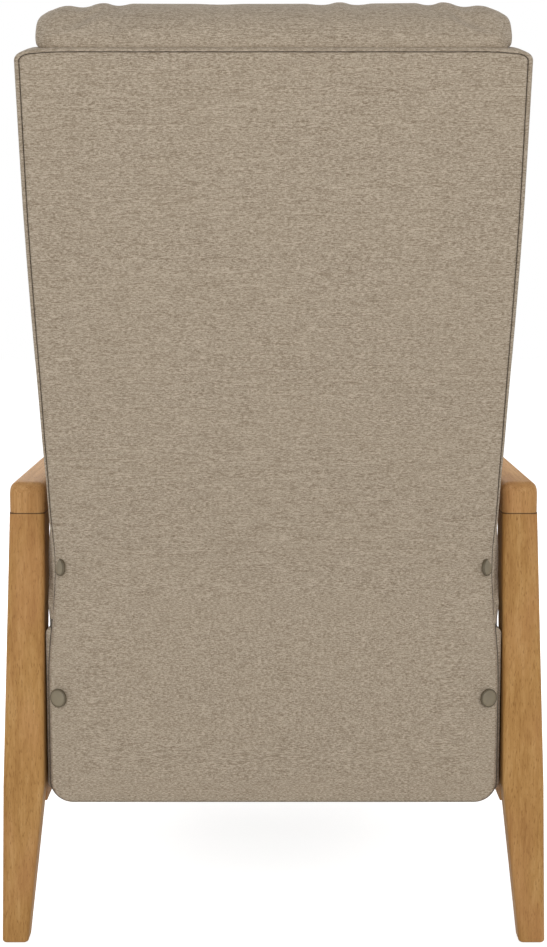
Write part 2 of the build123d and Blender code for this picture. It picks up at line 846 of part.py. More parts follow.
def back_slab(points, near, far, mode=Mode.ADD):
    """Add an (x, s) outline to the open part, from t = near to t = far."""
    with BuildSketch(back_face.offset(near), mode=Mode.PRIVATE) as face:
        with BuildLine():
            Polyline(*points, close=True)
        make_face()
    extrude(face.sketch, amount=far - near, mode=mode)


post_outer_gap = boxing_thickness + seat_gap
post_top_s = back_height - boxing_thickness - seat_gap
for side, word in ((1, "left"), (-1, "right")):
    with BuildPart() as back_post:
        outline = [
            (side * plate_inner, post_bottom_s),
            (side * (back_half(post_bottom_s) - post_outer_gap), post_bottom_s),
            (side * (back_half(post_top_s) - post_outer_gap), post_top_s),
            (side * plate_inner, post_top_s),
        ]
        back_slab(outline, panel_thickness + seat_gap, post_front_t)
    keep(back_post, f"back_post_{word}")

for name, bottom_s in (("back_top_rail", post_top_s - rail_height), ("back_bottom_rail", post_bottom_s)):
    with BuildPart() as back_rail:
        outline = [
            (-plate_inner, bottom_s),
            (plate_inner, bottom_s),
            (plate_inner, bottom_s + rail_height),
            (-plate_inner, bottom_s + rail_height),
        ]
        back_slab(outline, panel_thickness + seat_gap, panel_thickness + seat_gap + rail_stock)
    keep(back_rail, name)

with BuildPart() as back_springs:
    spring_t = panel_thickness + 2 * rail_stock
    for index in range(back_spring_count):
        s = back_spring_low_s + index * back_spring_pitch
        spring_end = plate_inner - spring_wire / 2 - seat_gap
        ends = ((-spring_end, s), (spring_end, s))
        with BuildLine(back_face.offset(spring_t), mode=Mode.PRIVATE) as route:
            FilletPolyline(*zigzag(*ends, back_spring_turns, back_spring_swing), radius=2 * spring_wire)
        with BuildSketch(route.line ^ 0, mode=Mode.PRIVATE) as wire_end:
            Circle(spring_wire / 2)
        sweep(wire_end.sketch, path=route.line)
keep(back_springs, "back_springs")

# Outside back panel and the boxing that wraps the frame's sides and top
panel_inset = boxing_thickness + seat_gap
with BuildPart() as outside_back_panel:
    outline = [
        (-(back_half(back_bottom_s) - panel_inset), back_bottom_s),
        (back_half(back_bottom_s) - panel_inset, back_bottom_s),
        (back_half(post_top_s) - panel_inset, post_top_s),
        (-(back_half(post_top_s) - panel_inset), post_top_s),
    ]
    back_slab(outline, 0, panel_thickness)
    side_edges = outside_back_panel.edges().filter_by(lambda edge: edge.length < 2 * panel_thickness)
    fillet(side_edges.sort_by(Axis.Z)[-2:], radius=boxing_corner - boxing_thickness)
keep(outside_back_panel, "outside_back_panel")

with BuildPart() as back_boxing:
    for side in (1, -1):
        outline = [
            (side * (back_half(back_bottom_s) - boxing_thickness), back_bottom_s),
            (side * back_half(back_bottom_s), back_bottom_s),
            (side * back_half(post_top_s), post_top_s),
            (side * (back_half(post_top_s) - boxing_thickness), post_top_s),
        ]
        back_slab(outline, boxing_lip / 2, boxing_depth)
    top_outline = [
        (-back_half(back_height), post_top_s + seat_gap),
        (back_half(back_height), post_top_s + seat_gap),
        (back_half(back_height), back_height),
        (-back_half(back_height), back_height),
    ]
    back_slab(top_outline, boxing_lip / 2, boxing_depth)
    top_corners = back_boxing.edges().filter_by(lambda edge: edge.length > boxing_depth / 2)
    top_corners = top_corners.filter_by(lambda edge: abs(edge.length - boxing_depth) < boxing_lip)
    fillet(top_corners.sort_by(Axis.Z)[-2:], radius=boxing_thickness - boxing_lip)
keep(back_boxing, "back_boxing")

# Back brackets, from the hinge tube to the posts
for side, word in ((1, "left"), (-1, "right")):
    inner = p_layer + 0.5 * pin_clearance
    outer = plate_inner - 2 * pin_clearance
    with BuildPart() as back_bracket:
        disc((pivot_y, pivot_z), bracket_lug, side, inner, outer)
        slab(
            [
                (pivot_y - bracket_lug, pivot_z),
                (pivot_y + bracket_lug, pivot_z),
                on_back(2 * rail_stock, post_bottom_s),
                on_back(rail_stock + boxing_lip + panel_thickness, bracket_reach_s),
                on_back(post_front_t, bracket_reach_s),
                on_back(post_front_t, rail_height),
            ],
            side,
            inner,
            outer,
        )
        disc((pivot_y, pivot_z), tube_radius + pin_clearance / 2, side, inner - overrun,
             outer + overrun, Mode.SUBTRACT)
    keep(back_bracket, f"back_bracket_{word}")


def make_crank_tube(place, x, length, angle):
    """Turning tube with a crank and its pin, the crank at angle from +Y in the YZ plane."""
    tip = (place[0] + length * cos(radians(angle)), place[1] + length * sin(radians(angle)))
    with BuildPart() as tube:
        disc(place, tube_radius, 1, -plate_outer, plate_outer)
        bar(place, tip, crank_stock, 1, x - crank_width / 2, x + crank_width / 2)
        disc(place, lug_radius, 1, x - crank_width / 2, x + crank_width / 2)
        pin_reach = crank_width / 2 + fork_gap + fork_thickness
        disc(tip, pin_radius, 1, x - pin_reach, x + pin_reach)
        disc(place, tube_radius - tube_wall, 1, -plate_outer - overrun, plate_outer + overrun,
             Mode.SUBTRACT)
    return tube


keep(
    make_crank_tube((pivot_y, pivot_z), back_drive_x, back_crank_length, half_recline - right_angle),
    "back_hinge_tube",
)
keep(
    make_crank_tube(low_pivots[0], footrest_drive_x, footrest_crank_length, right_angle - half_swing),
    "footrest_torque_tube",
)

# Upper snap buttons, at the waist on the outside back
with BuildPart() as upper_snap_buttons:
    for side in (1, -1):
        with BuildSketch(back_face, mode=Mode.PRIVATE) as spot:
            with Locations((side * upper_button_x, upper_button_s)):
                Circle(button_radius)
        extrude(spot.sketch, amount=-button_thickness)
    fillet(upper_snap_buttons.faces().sort_by(Axis.Y)[-2:].edges(), radius=button_thickness / 3)
keep(upper_snap_buttons, "upper_snap_buttons")

# Gusset cloth between the skirt and the outside back, which stretches as the back reclines
with BuildPart() as waist_gusset:
    gusset_top = on_back(0, back_bottom_s)
    gusset_inner = on_back(panel_thickness, back_bottom_s)
    outline = [
        (skirt_y, box_side_top + seat_gap),
        (gusset_top[0], gusset_top[1] - seat_gap),
        (gusset_inner[0], gusset_inner[1] - seat_gap),
        (skirt_y - panel_thickness, box_side_top + seat_gap),
    ]
    slab(outline, 1, -skirt_waist_half, skirt_waist_half)
keep(waist_gusset, "waist_gusset")

# Links of the folding footrest, a crossed pair in each of two stages on each side


def crossed_link(start, end, layer, holes, pins, bosses=()):
    """One bar on both sides of the chair, with bosses, round holes and outward or inward pins."""
    with BuildPart() as link:
        for side in (1, -1):
            bar(start, end, link_width, side, layer, layer + link_thickness)
            for place in bosses:
                disc(place, link_boss, side, layer, layer + link_thickness)
            for place, radius in holes:
                disc(place, radius + pin_clearance, side, layer - overrun, layer + overrun, Mode.SUBTRACT)
            for place, near, far in pins:
                disc(place, pin_radius, side, near, far)
    return link


first_cross = halfway(low_pivots[0], high_pivots[1])
second_cross = halfway(low_pivots[1], high_pivots[2])
keep(
    crossed_link(
        low_pivots[0],
        high_pivots[1],
        p_layer,
        [(low_pivots[0], tube_radius)],
        [(first_cross, q_layer, p_layer), (high_pivots[1], q_layer, p_layer)],
        [low_pivots[0]],
    ),
    "rear_driving_links",
)
keep(
    crossed_link(
        high_pivots[0],
        low_pivots[1],
        q_layer,
        [(first_cross, pin_radius)],
        [
            (high_pivots[0], q_layer + link_thickness, plate_outer),
            (low_pivots[1], q_layer + link_thickness, p_layer + link_thickness),
        ],
    ),
    "rear_crossing_links",
)
keep(
    crossed_link(
        low_pivots[1],
        high_pivots[2],
        p_layer,
        [(low_pivots[1], pin_radius)],
        [(second_cross, q_layer, p_layer), (high_pivots[2], ottoman_layer, p_layer)],
    ),
    "front_driving_links",
)
keep(
    crossed_link(
        high_pivots[1],
        low_pivots[2],
        q_layer,
        [(second_cross, pin_radius), (high_pivots[1], pin_radius)],
        [(low_pivots[2], ottoman_layer, q_layer)],
    ),
    "front_crossing_links",
)

# Footrest brackets: a bored corner on the last link and a cam slot for the crossing link's pin
ottoman_pivot = high_pivots[2]


def cam_point(share):
    """Where the crossing link's pin lies in the bracket after a share of the travel."""
    reach = link_length * cos(radians(fold_angle + share * swing_angle))
    dy, dz = turn(0, -reach, share * ottoman_turn)
    return (ottoman_pivot[0] + dy, ottoman_pivot[1] + dz)


cam_path = [cam_point(index / (cam_points - 1)) for index in range(cam_points)]


def cam_track(width, side, mode):
    """A curved bar along the cam path, made of short round-ended lengths."""
    for start, end in zip(cam_path[:-1], cam_path[1:]):
        bar(start, end, width, side, ottoman_layer, ottoman_layer + link_thickness, mode)


with BuildPart() as footrest_brackets:
    for side in (1, -1):
        cam_track(cam_band, side, Mode.ADD)
        bar(ottoman_pivot, cam_path[-1], cam_band, side, ottoman_layer, ottoman_layer + link_thickness)
        bar(ottoman_pivot, cam_path[0], cam_band, side, ottoman_layer, ottoman_layer + link_thickness)
        block(
            sorted((side * ottoman_layer, side * (ottoman_layer + link_thickness))),
            (board_back_y, ottoman_pivot[0]),
            (cam_path[0][1], ottoman_pivot[1]),
        )
        block(
            sorted((side * (ottoman_layer + link_thickness), side * (ottoman_layer - flange_width))),
            (board_back_y, flange_back_y),
            (cam_path[0][1], ottoman_pivot[1]),
        )
        cam_track(2 * (pin_radius + slot_clearance), side, Mode.SUBTRACT)
        disc(ottoman_pivot, pin_radius + pin_clearance, side, ottoman_layer - overrun,
             ottoman_layer + overrun, Mode.SUBTRACT)
keep(footrest_brackets, "footrest_brackets")

with BuildPart() as footrest_board:
    block(
        (-pad_half + board_inset, pad_half - board_inset),
        (board_back_y - board_thickness, board_back_y),
        (pad_bottom + board_inset, pad_top - board_inset),
    )
    fillet(footrest_board.edges().filter_by(Axis.Y), radius=edge_round)
keep(footrest_board, "footrest_board")

# Footrest pad: a crowned cushion whose edges draw in towards the board
board_front_y = board_back_y - board_thickness
with BuildPart() as footrest_pad:
    for height, inset in crown_layers(0, pad_thickness, pad_edge, pad_crown):
        with BuildSketch(Plane.XZ.offset(height - board_front_y)):
            with BuildLine():
                soft_outline(pad_half - inset, pad_bottom + inset, pad_top - inset, pad_corner, boxing_lip)
            make_face()
    loft()
keep(footrest_pad, "footrest_pad")


# Back cushion: its side view, lofted across the chair with smaller ends
def back_cushion_profile(shrink):
    """Side view as (t, s) points for lines and arcs; shrink draws every side in."""
    low_t = post_front_t + 2 * rail_stock
    front_t = post_front_t + back_cushion_thickness - lumbar_reach - shrink
    belly_t = front_t + lumbar_reach
    rear_t = post_front_t + seat_gap + shrink
    third = (back_cushion_top_s - shrink) / 3
    return {
        "rear": [
            (rear_t, back_cushion_top_s - shrink),
            (rear_t, 4 * rail_stock + shrink),
            (low_t + shrink, 0),
            (low_t + shrink, -3 * rail_stock + shrink),
        ],
        "front": [
            (front_t - rail_stock, -3 * rail_stock + shrink),
            (belly_t - rail_stock / 2, rail_stock),
            (belly_t, third),
            (front_t + lumbar_reach / 3, 2 * third),
            (front_t - rail_stock, back_cushion_top_s - shrink),
        ],
    }


def back_cushion_section(x, shrink):
    """Draw one section of the back cushion on the plane X = x."""
    profile = back_cushion_profile(shrink)
    rear = [on_back(*point) for point in profile["rear"]]
    front = [on_back(*point) for point in profile["front"]]
    with BuildSketch(Plane.YZ.offset(x), mode=Mode.PRIVATE) as section:
        with BuildLine():
            Polyline(*rear)
            Line(rear[-1], front[0])
            for low, high in zip(front[:-1], front[1:]):
                bulge_y = (low[0] + high[0]) / 2 - channel_depth
                ThreePointArc(low, (bulge_y, (low[1] + high[1]) / 2), high)
            Line(front[-1], rear[0])
        make_face()
    return section.sketch


cushion_station_shares = ((-1, 1), (-0.93, 0.25), (-0.7, 0), (0, 0), (0.7, 0), (0.93, 0.25), (1, 1))
with BuildPart() as back_cushion:
    sections = [
        back_cushion_section(x_share * back_cushion_half, shrink_share * soft_corner)
        for x_share, shrink_share in cushion_station_shares
    ]
    loft(sections)
keep(back_cushion, "back_cushion")


# Head pillow: drapes over the top of the back, its crest gathered by small dips
def pillow_section(x, shrink, dip):
    """Draw one section of the head pillow on the plane X = x."""
    low_s = back_cushion_top_s + pillow_gap + shrink
    rest_s = back_height + seat_gap
    inner_t = boxing_depth + seat_gap + shrink
    crest_s = pillow_crest_s - shrink - dip
    front_t = pillow_front_t - shrink
    reach = front_t - pillow_crest_t
    drop = crest_s - low_s
    shoulder_out, shoulder_down = pillow_shoulder_shares
    chin_out, chin_in, chin_up = pillow_chin_shares
    blend_out, blend_down = pillow_blend_shares
    rear_low = on_back(pillow_rear_t + shrink, rest_s)
    rear_high = on_back(pillow_rear_t + shrink, rest_s + boxing_corner - shrink / 2)
    blend = on_back(blend_out * pillow_crest_t, crest_s - blend_down * (crest_s - rest_s))
    top = on_back(pillow_crest_t, crest_s)
    shoulder = on_back(pillow_crest_t + shoulder_out * reach, crest_s - shoulder_down * drop)
    nose = on_back(front_t, (crest_s + low_s) / 2)
    cheek = on_back(front_t - chin_in * reach, low_s + chin_up * drop)
    chin = on_back(pillow_crest_t + chin_out * reach, low_s)
    with BuildSketch(Plane.YZ.offset(x), mode=Mode.PRIVATE) as section:
        with BuildLine():
            Line(on_back(inner_t, low_s), on_back(inner_t, rest_s))
            Line(on_back(inner_t, rest_s), rear_low)
            Line(rear_low, rear_high)
            ThreePointArc(rear_high, blend, top)
            ThreePointArc(top, shoulder, nose)
            ThreePointArc(nose, cheek, chin)
            Line(chin, on_back(inner_t, low_s))
        make_face()
    return section.sketch


pillow_station_shares = (
    (-1, 1, 0),
    (-0.96, 0.3, 0),
    (-0.86, 0, 0),
    (-0.77, 0, 1),
    (-0.5, 0, 0.2),
    (-0.2, 0, 0.8),
    (0.1, 0, 0),
    (0.5, 0, 0.3),
    (0.77, 0, 1),
    (0.86, 0, 0),
    (0.96, 0.3, 0),
    (1, 1, 0),
)
with BuildPart() as head_pillow:
    sections = [
        pillow_section(x_share * pillow_half, shrink_share * soft_corner / 2, dip_share * pillow_dip)
        for x_share, shrink_share, dip_share in pillow_station_shares
    ]
    loft(sections)
keep(head_pillow, "head_pillow")

print("footrest drive", round(footrest_travel / radians(swing_angle) / 1000, 5), "m per radian")
print("back drive", round(back_travel / radians(recline_angle) / 1000, 5), "m per radian")
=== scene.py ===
from math import atan2, cos, pi, radians, sin, sqrt, tan

import bmesh
import bpy
import numpy as np
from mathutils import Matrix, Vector
from mathutils.bvhtree import BVHTree


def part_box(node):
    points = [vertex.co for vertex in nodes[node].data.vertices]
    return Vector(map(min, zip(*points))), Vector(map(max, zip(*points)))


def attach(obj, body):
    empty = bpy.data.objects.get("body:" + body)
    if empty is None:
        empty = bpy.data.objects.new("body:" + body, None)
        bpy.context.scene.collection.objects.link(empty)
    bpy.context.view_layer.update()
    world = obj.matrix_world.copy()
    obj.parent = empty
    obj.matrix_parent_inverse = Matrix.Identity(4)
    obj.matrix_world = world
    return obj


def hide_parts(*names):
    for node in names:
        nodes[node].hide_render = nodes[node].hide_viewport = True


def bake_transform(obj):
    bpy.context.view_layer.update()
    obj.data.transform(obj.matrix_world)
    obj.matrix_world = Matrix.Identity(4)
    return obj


# A power recliner seen from behind. All lengths are in metres, in the frame of the solid model:
# X runs across with +X at the sitter's left, Y runs from front to back, Z is up.
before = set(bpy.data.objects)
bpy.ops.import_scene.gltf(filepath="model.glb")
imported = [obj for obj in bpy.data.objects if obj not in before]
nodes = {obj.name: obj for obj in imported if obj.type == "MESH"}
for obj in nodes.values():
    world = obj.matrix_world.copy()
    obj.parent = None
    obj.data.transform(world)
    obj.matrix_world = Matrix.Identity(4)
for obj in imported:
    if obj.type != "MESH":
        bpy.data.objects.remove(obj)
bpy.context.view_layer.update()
scene = bpy.context.scene

# Sizes read from the frame
skirt_low, skirt_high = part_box("rear_skirt")
rear_y = skirt_high.y
hem_z = skirt_low.z
skirt_half = skirt_high.x
skirt_depth = rear_y - skirt_low.y

# The sign of x and the word for each side
sides = ((1, "left"), (-1, "right"))

# The back's slope from upright and the height of the waist, as in the solid model
lean = radians(13.5)
waist_z = 0.440
back_up = Vector((0, sin(lean), cos(lean)))
back_out = Vector((0, cos(lean), -sin(lean)))


def on_back(x, s, t):
    """A point x across, s up the back's slope from the waist and t in front of its rear face."""
    return Vector((x, rear_y, waist_z)) + back_up * s - back_out * t


def unit(value):
    """A value held between 0 and 1."""
    return min(max(value, 0.0), 1.0)


def smooth(value):
    """A step from 0 to 1 with eased ends."""
    share = unit(value)
    return share * share * (3 - 2 * share)


# Materials

def linear(red, green, blue):
    """A colour from screen values of 0 to 255, as the shaders want it."""
    channels = []
    for value in (red, green, blue):
        share = value / 255
        channels.append(share / 12.92 if share <= 0.04045 else ((share + 0.055) / 1.055) ** 2.4)
    return (*channels, 1.0)


def node(tree, kind, inputs=None, **settings):
    """Add a shader node. inputs maps socket names or numbers to values or to other nodes' outputs."""
    made = tree.nodes.new("ShaderNode" + kind)
    for key, value in settings.items():
        setattr(made, key, value)
    for key, value in (inputs or {}).items():
        if isinstance(value, bpy.types.NodeSocket):
            tree.links.new(value, made.inputs[key])
        else:
            made.inputs[key].default_value = value
    return made


def blank(name, **shader):
    """A new material with its shader's own sockets set; returns it with its tree and shader."""
    material = bpy.data.materials.new(name)
    material.use_nodes = True
    tree = material.node_tree
    principled = tree.nodes["Principled BSDF"]
    for key, value in shader.items():
        principled.inputs[key.replace("_", " ")].default_value = value
    return material, tree, principled


def stretched(tree, sizes):
    """Object coordinates divided by a feature size on each axis."""
    place = node(tree, "TexCoord").outputs["Object"]
    inverse = tuple(1 / size for size in sizes)
    return node(tree, "VectorMath", {0: place, 1: inverse}, operation="MULTIPLY").outputs[0]


def noise(tree, sizes, detail=2.0, rough=0.5):
    """Noise whose features have these sizes along X, Y and Z."""
    inputs = {"Vector": stretched(tree, sizes), "Scale": 1.0, "Detail": detail, "Roughness": rough}
    return node(tree, "TexNoise", inputs).outputs[0]


def ramp(tree, factor, stops):
    """A colour ramp through (position, colour) stops."""
    made = node(tree, "ValToRGB", {0: factor})
    elements = made.color_ramp.elements
    while len(elements) < len(stops):
        elements.new(0.5)
    for element, (position, colour) in zip(elements, stops):
        element.position = position
        element.color = colour
    return made.outputs[0]


def span(tree, value, low, high, to_low=0.0, to_high=1.0):
    """A value mapped smoothly from one range to another."""
    inputs = {0: value, 1: low, 2: high, 3: to_low, 4: to_high}
    return node(tree, "MapRange", inputs, interpolation_type="SMOOTHSTEP").outputs[0]


def math(tree, operation, first, second=0.0):
    return node(tree, "Math", {0: first, 1: second}, operation=operation).outputs[0]


def weighted(tree, first, first_share, second, second_share):
    """The sum of two values, each times its share."""
    parts = [math(tree, "MULTIPLY", first, first_share), math(tree, "MULTIPLY", second, second_share)]
    return math(tree, "ADD", *parts)


def mix(tree, factor, first, second):
    """Two colours mixed by a factor."""
    return node(tree, "Mix", {0: factor, 6: first, 7: second}, data_type="RGBA").outputs[2]


def choose(tree, factor, first, second):
    """Two plain values mixed by a factor."""
    return node(tree, "Mix", {0: factor, 2: first, 3: second}).outputs[0]


def facing_share(tree, axis):
    """How squarely a face looks along an axis, either way, from 0 to 1."""
    facing = node(tree, "TexCoord").outputs["Normal"]
    return math(tree, "ABSOLUTE", node(tree, "SeparateXYZ", {0: facing}).outputs[axis])


def bump(tree, principled, height, strength, distance):
    made = node(tree, "Bump", {"Strength": strength, "Distance": distance, "Height": height})
    tree.links.new(made.outputs[0], principled.inputs["Normal"])


# The cloth's threads, and its colours as screen values
thread_width = 0.00058
weft_length = 0.0038
warp_length = 0.0019
slub_length = 0.024
slub_width = 0.0006
patch_sizes = (0.11, 0.11, 0.06)
weft_dark, weft_pale = (139, 123, 103), (203, 188, 168)
warp_dark, warp_pale = (127, 111, 90), (211, 197, 178)
slub_dark, slub_pale = (131, 114, 92), (206, 191, 170)
patch_tone = (188, 172, 148)
warp_show = 0.5
slub_show = 0.4
patch_show = 0.07


def crossing(tree, along_x, along_z, detail):
    """Streaks in the cloth's plane: X by Z on upright faces, X by Y on faces that lie flat."""
    upright = noise(tree, (along_x, max(along_x, along_z), along_z), detail)
    level = noise(tree, (along_x, along_z, max(along_x, along_z)), detail)
    return choose(tree, span(tree, facing_share(tree, "Z"), 0.55, 0.8), upright, level)


def make_fabric(name, shade=1.0):
    """Oatmeal heather: a plain weave of mixed pale and dark threads with longer slubs across it."""
    material, tree, principled = blank(
        name, Roughness=0.92, Sheen_Weight=0.1, Sheen_Roughness=0.5, Specular_IOR_Level=0.15
    )

    # shade scales every tone down; the copy made at 0.6 is painted shade
    def shaded(tone):
        return linear(*(channel * shade for channel in tone))

    def over(colour, pattern, start, end, share, tone):
        """A tone laid over a colour where a pattern runs from start to end."""
        return mix(tree, span(tree, pattern, start, end, 0.0, share), colour, shaded(tone))

    weft = crossing(tree, weft_length, thread_width, 2.0)
    warp = crossing(tree, thread_width, warp_length, 2.0)
    slubs = crossing(tree, slub_length, slub_width, 1.5)
    patches = noise(tree, patch_sizes, 2.0)
    colour = mix(tree, span(tree, weft, 0.36, 0.64), shaded(weft_dark), shaded(weft_pale))
    colour = over(colour, warp, 0.5, 0.70, warp_show, warp_pale)
    colour = over(colour, warp, 0.5, 0.30, warp_show, warp_dark)
    colour = over(colour, slubs, 0.53, 0.68, slub_show, slub_pale)
    colour = over(colour, slubs, 0.47, 0.32, slub_show, slub_dark)
    colour = over(colour, patches, 0.35, 0.65, patch_show, patch_tone)
    tree.links.new(colour, principled.inputs["Base Color"])
    threads = weighted(tree, weft, 0.6, warp, 0.6)
    height = math(tree, "ADD", threads, math(tree, "MULTIPLY", slubs, 0.4))
    bump(tree, principled, height, 0.45, 0.0012)
    return material


# Wood: screen values of the flecks and of the grain's dark, middle and pale tones
upright_tones = ((146, 101, 52), (167, 121, 66), (184, 138, 80), (198, 154, 97))
level_tones = ((158, 112, 66), (180, 133, 82), (196, 149, 96), (209, 164, 112))
sawn_tones = ((166, 132, 88), (190, 160, 116), (207, 180, 137), (220, 196, 156))
warm_tint = (196, 138, 96)
# Painted shade of the gap at the joint under the arm: its tone, and the width of the line
painted_joint_shade = (58, 38, 20)
joint_shade_width = 0.0016


def make_wood(name, axis, tones, rough, shine, relief, joint_z=None):
    """Straight-grained wood with fine dark flecks, its grain along one axis (0, 1 or 2).

    joint_z is the height of the joint under the arm; a thin dark line of painted shade just below it stands
    in for the shadow in the joint's gap.
    """
    material, tree, principled = blank(name, Roughness=rough, Specular_IOR_Level=shine)
    fleck_colour, dark, middle, pale = (linear(*tone) for tone in tones)
    end_face = span(tree, facing_share(tree, "Y"), 0.45, 0.75)

    def grain(across, along):
        return tuple(along if index == axis else across for index in range(3))

    def grained(across, along, detail, grit=0.5):
        """Streaks along the grain, upright on the ends of a piece that lies along Y."""
        streaks = noise(tree, grain(across, along), detail, grit)
        if axis != 1:
            return streaks
        return choose(tree, end_face, streaks, noise(tree, (across, across, along), detail, grit))

    broad = grained(0.011, 0.3, 3.0, 0.6)
    lines = grained(0.0023, 0.12, 3.0, 0.65)
    flecks = grained(0.0011, 0.010, 1.5)
    tint = noise(tree, grain(0.05, 0.12), 1.0)
    sums = weighted(tree, broad, 0.55, lines, 0.45)
    colour = ramp(tree, sums, [(0.36, dark), (0.5, middle), (0.64, pale)])
    colour = mix(tree, span(tree, flecks, 0.57, 0.7, 0.0, 0.7), colour, fleck_colour)
    colour = mix(tree, span(tree, tint, 0.45, 0.7, 0.0, 0.22), colour, linear(*warm_tint))
    # Painted shade: a thin dark line just under the joint's height, in place of the shadow in the gap
    # between leg and arm
    if joint_z is not None:
        place = node(tree, "TexCoord").outputs["Object"]
        height_z = node(tree, "SeparateXYZ", {0: place}).outputs["Z"]
        line = span(tree, height_z, joint_z - joint_shade_width, joint_z - joint_shade_width * 0.6, 0.0, 0.85)
        colour = mix(tree, line, colour, linear(*painted_joint_shade))
    tree.links.new(colour, principled.inputs["Base Color"])
    height = math(tree, "SUBTRACT", lines, math(tree, "MULTIPLY", flecks, 0.6))
    bump(tree, principled, height, relief, 0.0006)
    return material


def darker(colour, share):
    """A colour at a share of its brightness."""
    return (*(channel * share for channel in colour[:3]), 1.0)


def worn_finish(name, colours, patch_size, grain_sizes, relief, depth, spread=(0.35, 0.7), **shader):
    """A finish with a fine grain, whose colour wanders in patches from the first of two to the second."""
    material, tree, principled = blank(name, **shader)
    patches = span(tree, noise(tree, (patch_size,) * 3, 3.0), *spread)
    tree.links.new(mix(tree, patches, *colours), principled.inputs["Base Color"])
    bump(tree, principled, noise(tree, grain_sizes, 2.0), relief, depth)
    return material


def make_plastic(name, colour, rough):
    """Moulded plastic with a fine spark texture."""
    colours = (colour, darker(colour, 0.82))
    return worn_finish(name, colours, 0.02, (0.0007,) * 3, 0.25, 0.0003, Roughness=rough)


def make_metal(name, colour, rough, brush, mottle):
    """Bare or plated metal: brush gives its scratches' sizes, mottle how bright its dull patches stay."""
    colours = (colour, darker(colour, mottle))
    return worn_finish(name, colours, 0.012, brush, 0.18, 0.0002, Metallic=1.0, Roughness=rough)


def make_steel_paint():
    """Black powder coat with its orange-peel surface and a little dust."""
    colours = (linear(34, 34, 36), linear(52, 51, 50))
    return worn_finish("powder_coat", colours, 0.03, (0.0012,) * 3, 0.3, 0.0004, spread=(0.4, 0.75),
                       Roughness=0.5, Specular_IOR_Level=0.4)


fabric = make_fabric("oatmeal_heather")
# A copy of the cloth at 0.6 of its brightness: painted shade for the bottom of the seam's groove and for
# the skirt's side strips
painted_shade_fabric = make_fabric("oatmeal_heather_painted_shade", 0.6)
arm_joint_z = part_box("arm_left")[0].z
wood_upright = make_wood(
    "honey_wood_upright", 2, upright_tones, rough=0.6, shine=0.2, relief=0.12, joint_z=arm_joint_z
)
wood_level = make_wood("honey_wood_level", 1, level_tones, rough=0.6, shine=0.08, relief=0.12)
frame_wood_cross = make_wood("sawn_wood_cross", 0, sawn_tones, rough=0.8, shine=0.2, relief=0.4)
button_face = make_plastic("button_face", linear(137, 126, 104), 0.55)
button_rim = make_plastic("button_rim", linear(98, 87, 66), 0.5)
black_plastic = make_plastic("black_plastic", linear(38, 38, 40), 0.55)
powder_coat = make_steel_paint()
zinc = make_metal("zinc_plate", linear(196, 198, 196), 0.34, (0.002,) * 3, 0.8)
aluminium = make_metal("drawn_aluminium", linear(205, 207, 210), 0.3, (0.0006, 0.02, 0.0006), 0.9)


def pairs(*stems):
    """The names of the left and right nodes with these stems."""
    return tuple(f"{stem}_{word}" for stem in stems for _, word in sides)


# Finishes of the solid nodes that stay
node_finishes = (
    (wood_upright, pairs("rear_leg", "front_leg")),
    (wood_level, pairs("arm", "side_rail")),
    (frame_wood_cross, ("rear_seat_rail", "rear_box_rail", "back_top_rail", "back_bottom_rail")),
    (fabric, ("footrest_board", "front_seat_rail", *pairs("back_post"))),
    (black_plastic, ("leg_glides", "frame_spacers", "footrest_gearbox", "back_gearbox", "control_box",
                     "power_inlet", "switch_panel", "back_rocker", "footrest_rocker")),
    (powder_coat, (*pairs("mechanism_plate", "back_bracket"), "front_cross_tube", "rear_cross_tube",
                   "back_hinge_tube", "footrest_torque_tube", "rear_driving_links", "rear_crossing_links",
                   "front_driving_links", "front_crossing_links", "footrest_brackets")),
    (zinc, ("frame_bolts", "seat_springs", "back_springs", "footrest_motor", "back_motor",
            "back_drive_rod", "footrest_drive_rod")),
    (aluminium, ("footrest_drive_tube", "back_drive_tube")),
)
for finish, names in node_finishes:
    for name in names:
        nodes[name].data.materials.clear()
        nodes[name].data.materials.append(finish)


# Mesh helpers

def added(name, data):
    """A new object in the scene, with this mesh, light or camera."""
    made = bpy.data.objects.new(name, data)
    scene.collection.objects.link(made)
    return made


def smooth_faces(mesh):
    mesh.polygons.foreach_set("use_smooth", [True] * len(mesh.polygons))


def piece_from(name, points, faces, material):
    """A smooth mesh object from points and faces."""
    mesh = bpy.data.meshes.new(name)
    mesh.from_pydata([tuple(point) for point in points], [], faces)
    mesh.validate()
    mesh.materials.append(material)
    smooth_faces(mesh)
    return added(name, mesh)


def settle(piece):
    """Make a piece's modifiers part of its mesh."""
    bpy.context.view_layer.update()
    shaped = piece.evaluated_get(bpy.context.evaluated_depsgraph_get())
    mesh = bpy.data.meshes.new_from_object(shaped)
    piece.modifiers.clear()
    piece.data = mesh
    smooth_faces(mesh)


def modify(piece, kind, **settings):
    """Add a modifier with these settings and apply it."""
    made = piece.modifiers.new(kind.lower(), kind)
    for key, value in settings.items():
        setattr(made, key, value)
    settle(piece)


def coordinates(piece):
    values = np.zeros(len(piece.data.vertices) * 3)
    piece.data.vertices.foreach_get("co", values)
    return values.reshape(-1, 3)


def set_coordinates(piece, points):
    piece.data.vertices.foreach_set("co", np.asarray(points, np.float32).ravel())
    piece.data.update()


def band(low, high, count):
    """The faces between two rings of count points, whose first points have the numbers low and high."""
    steps = [(place, (place + 1) % count) for place in range(count)]
    return [(low + place, low + after, high + after, high + place) for place, after in steps]


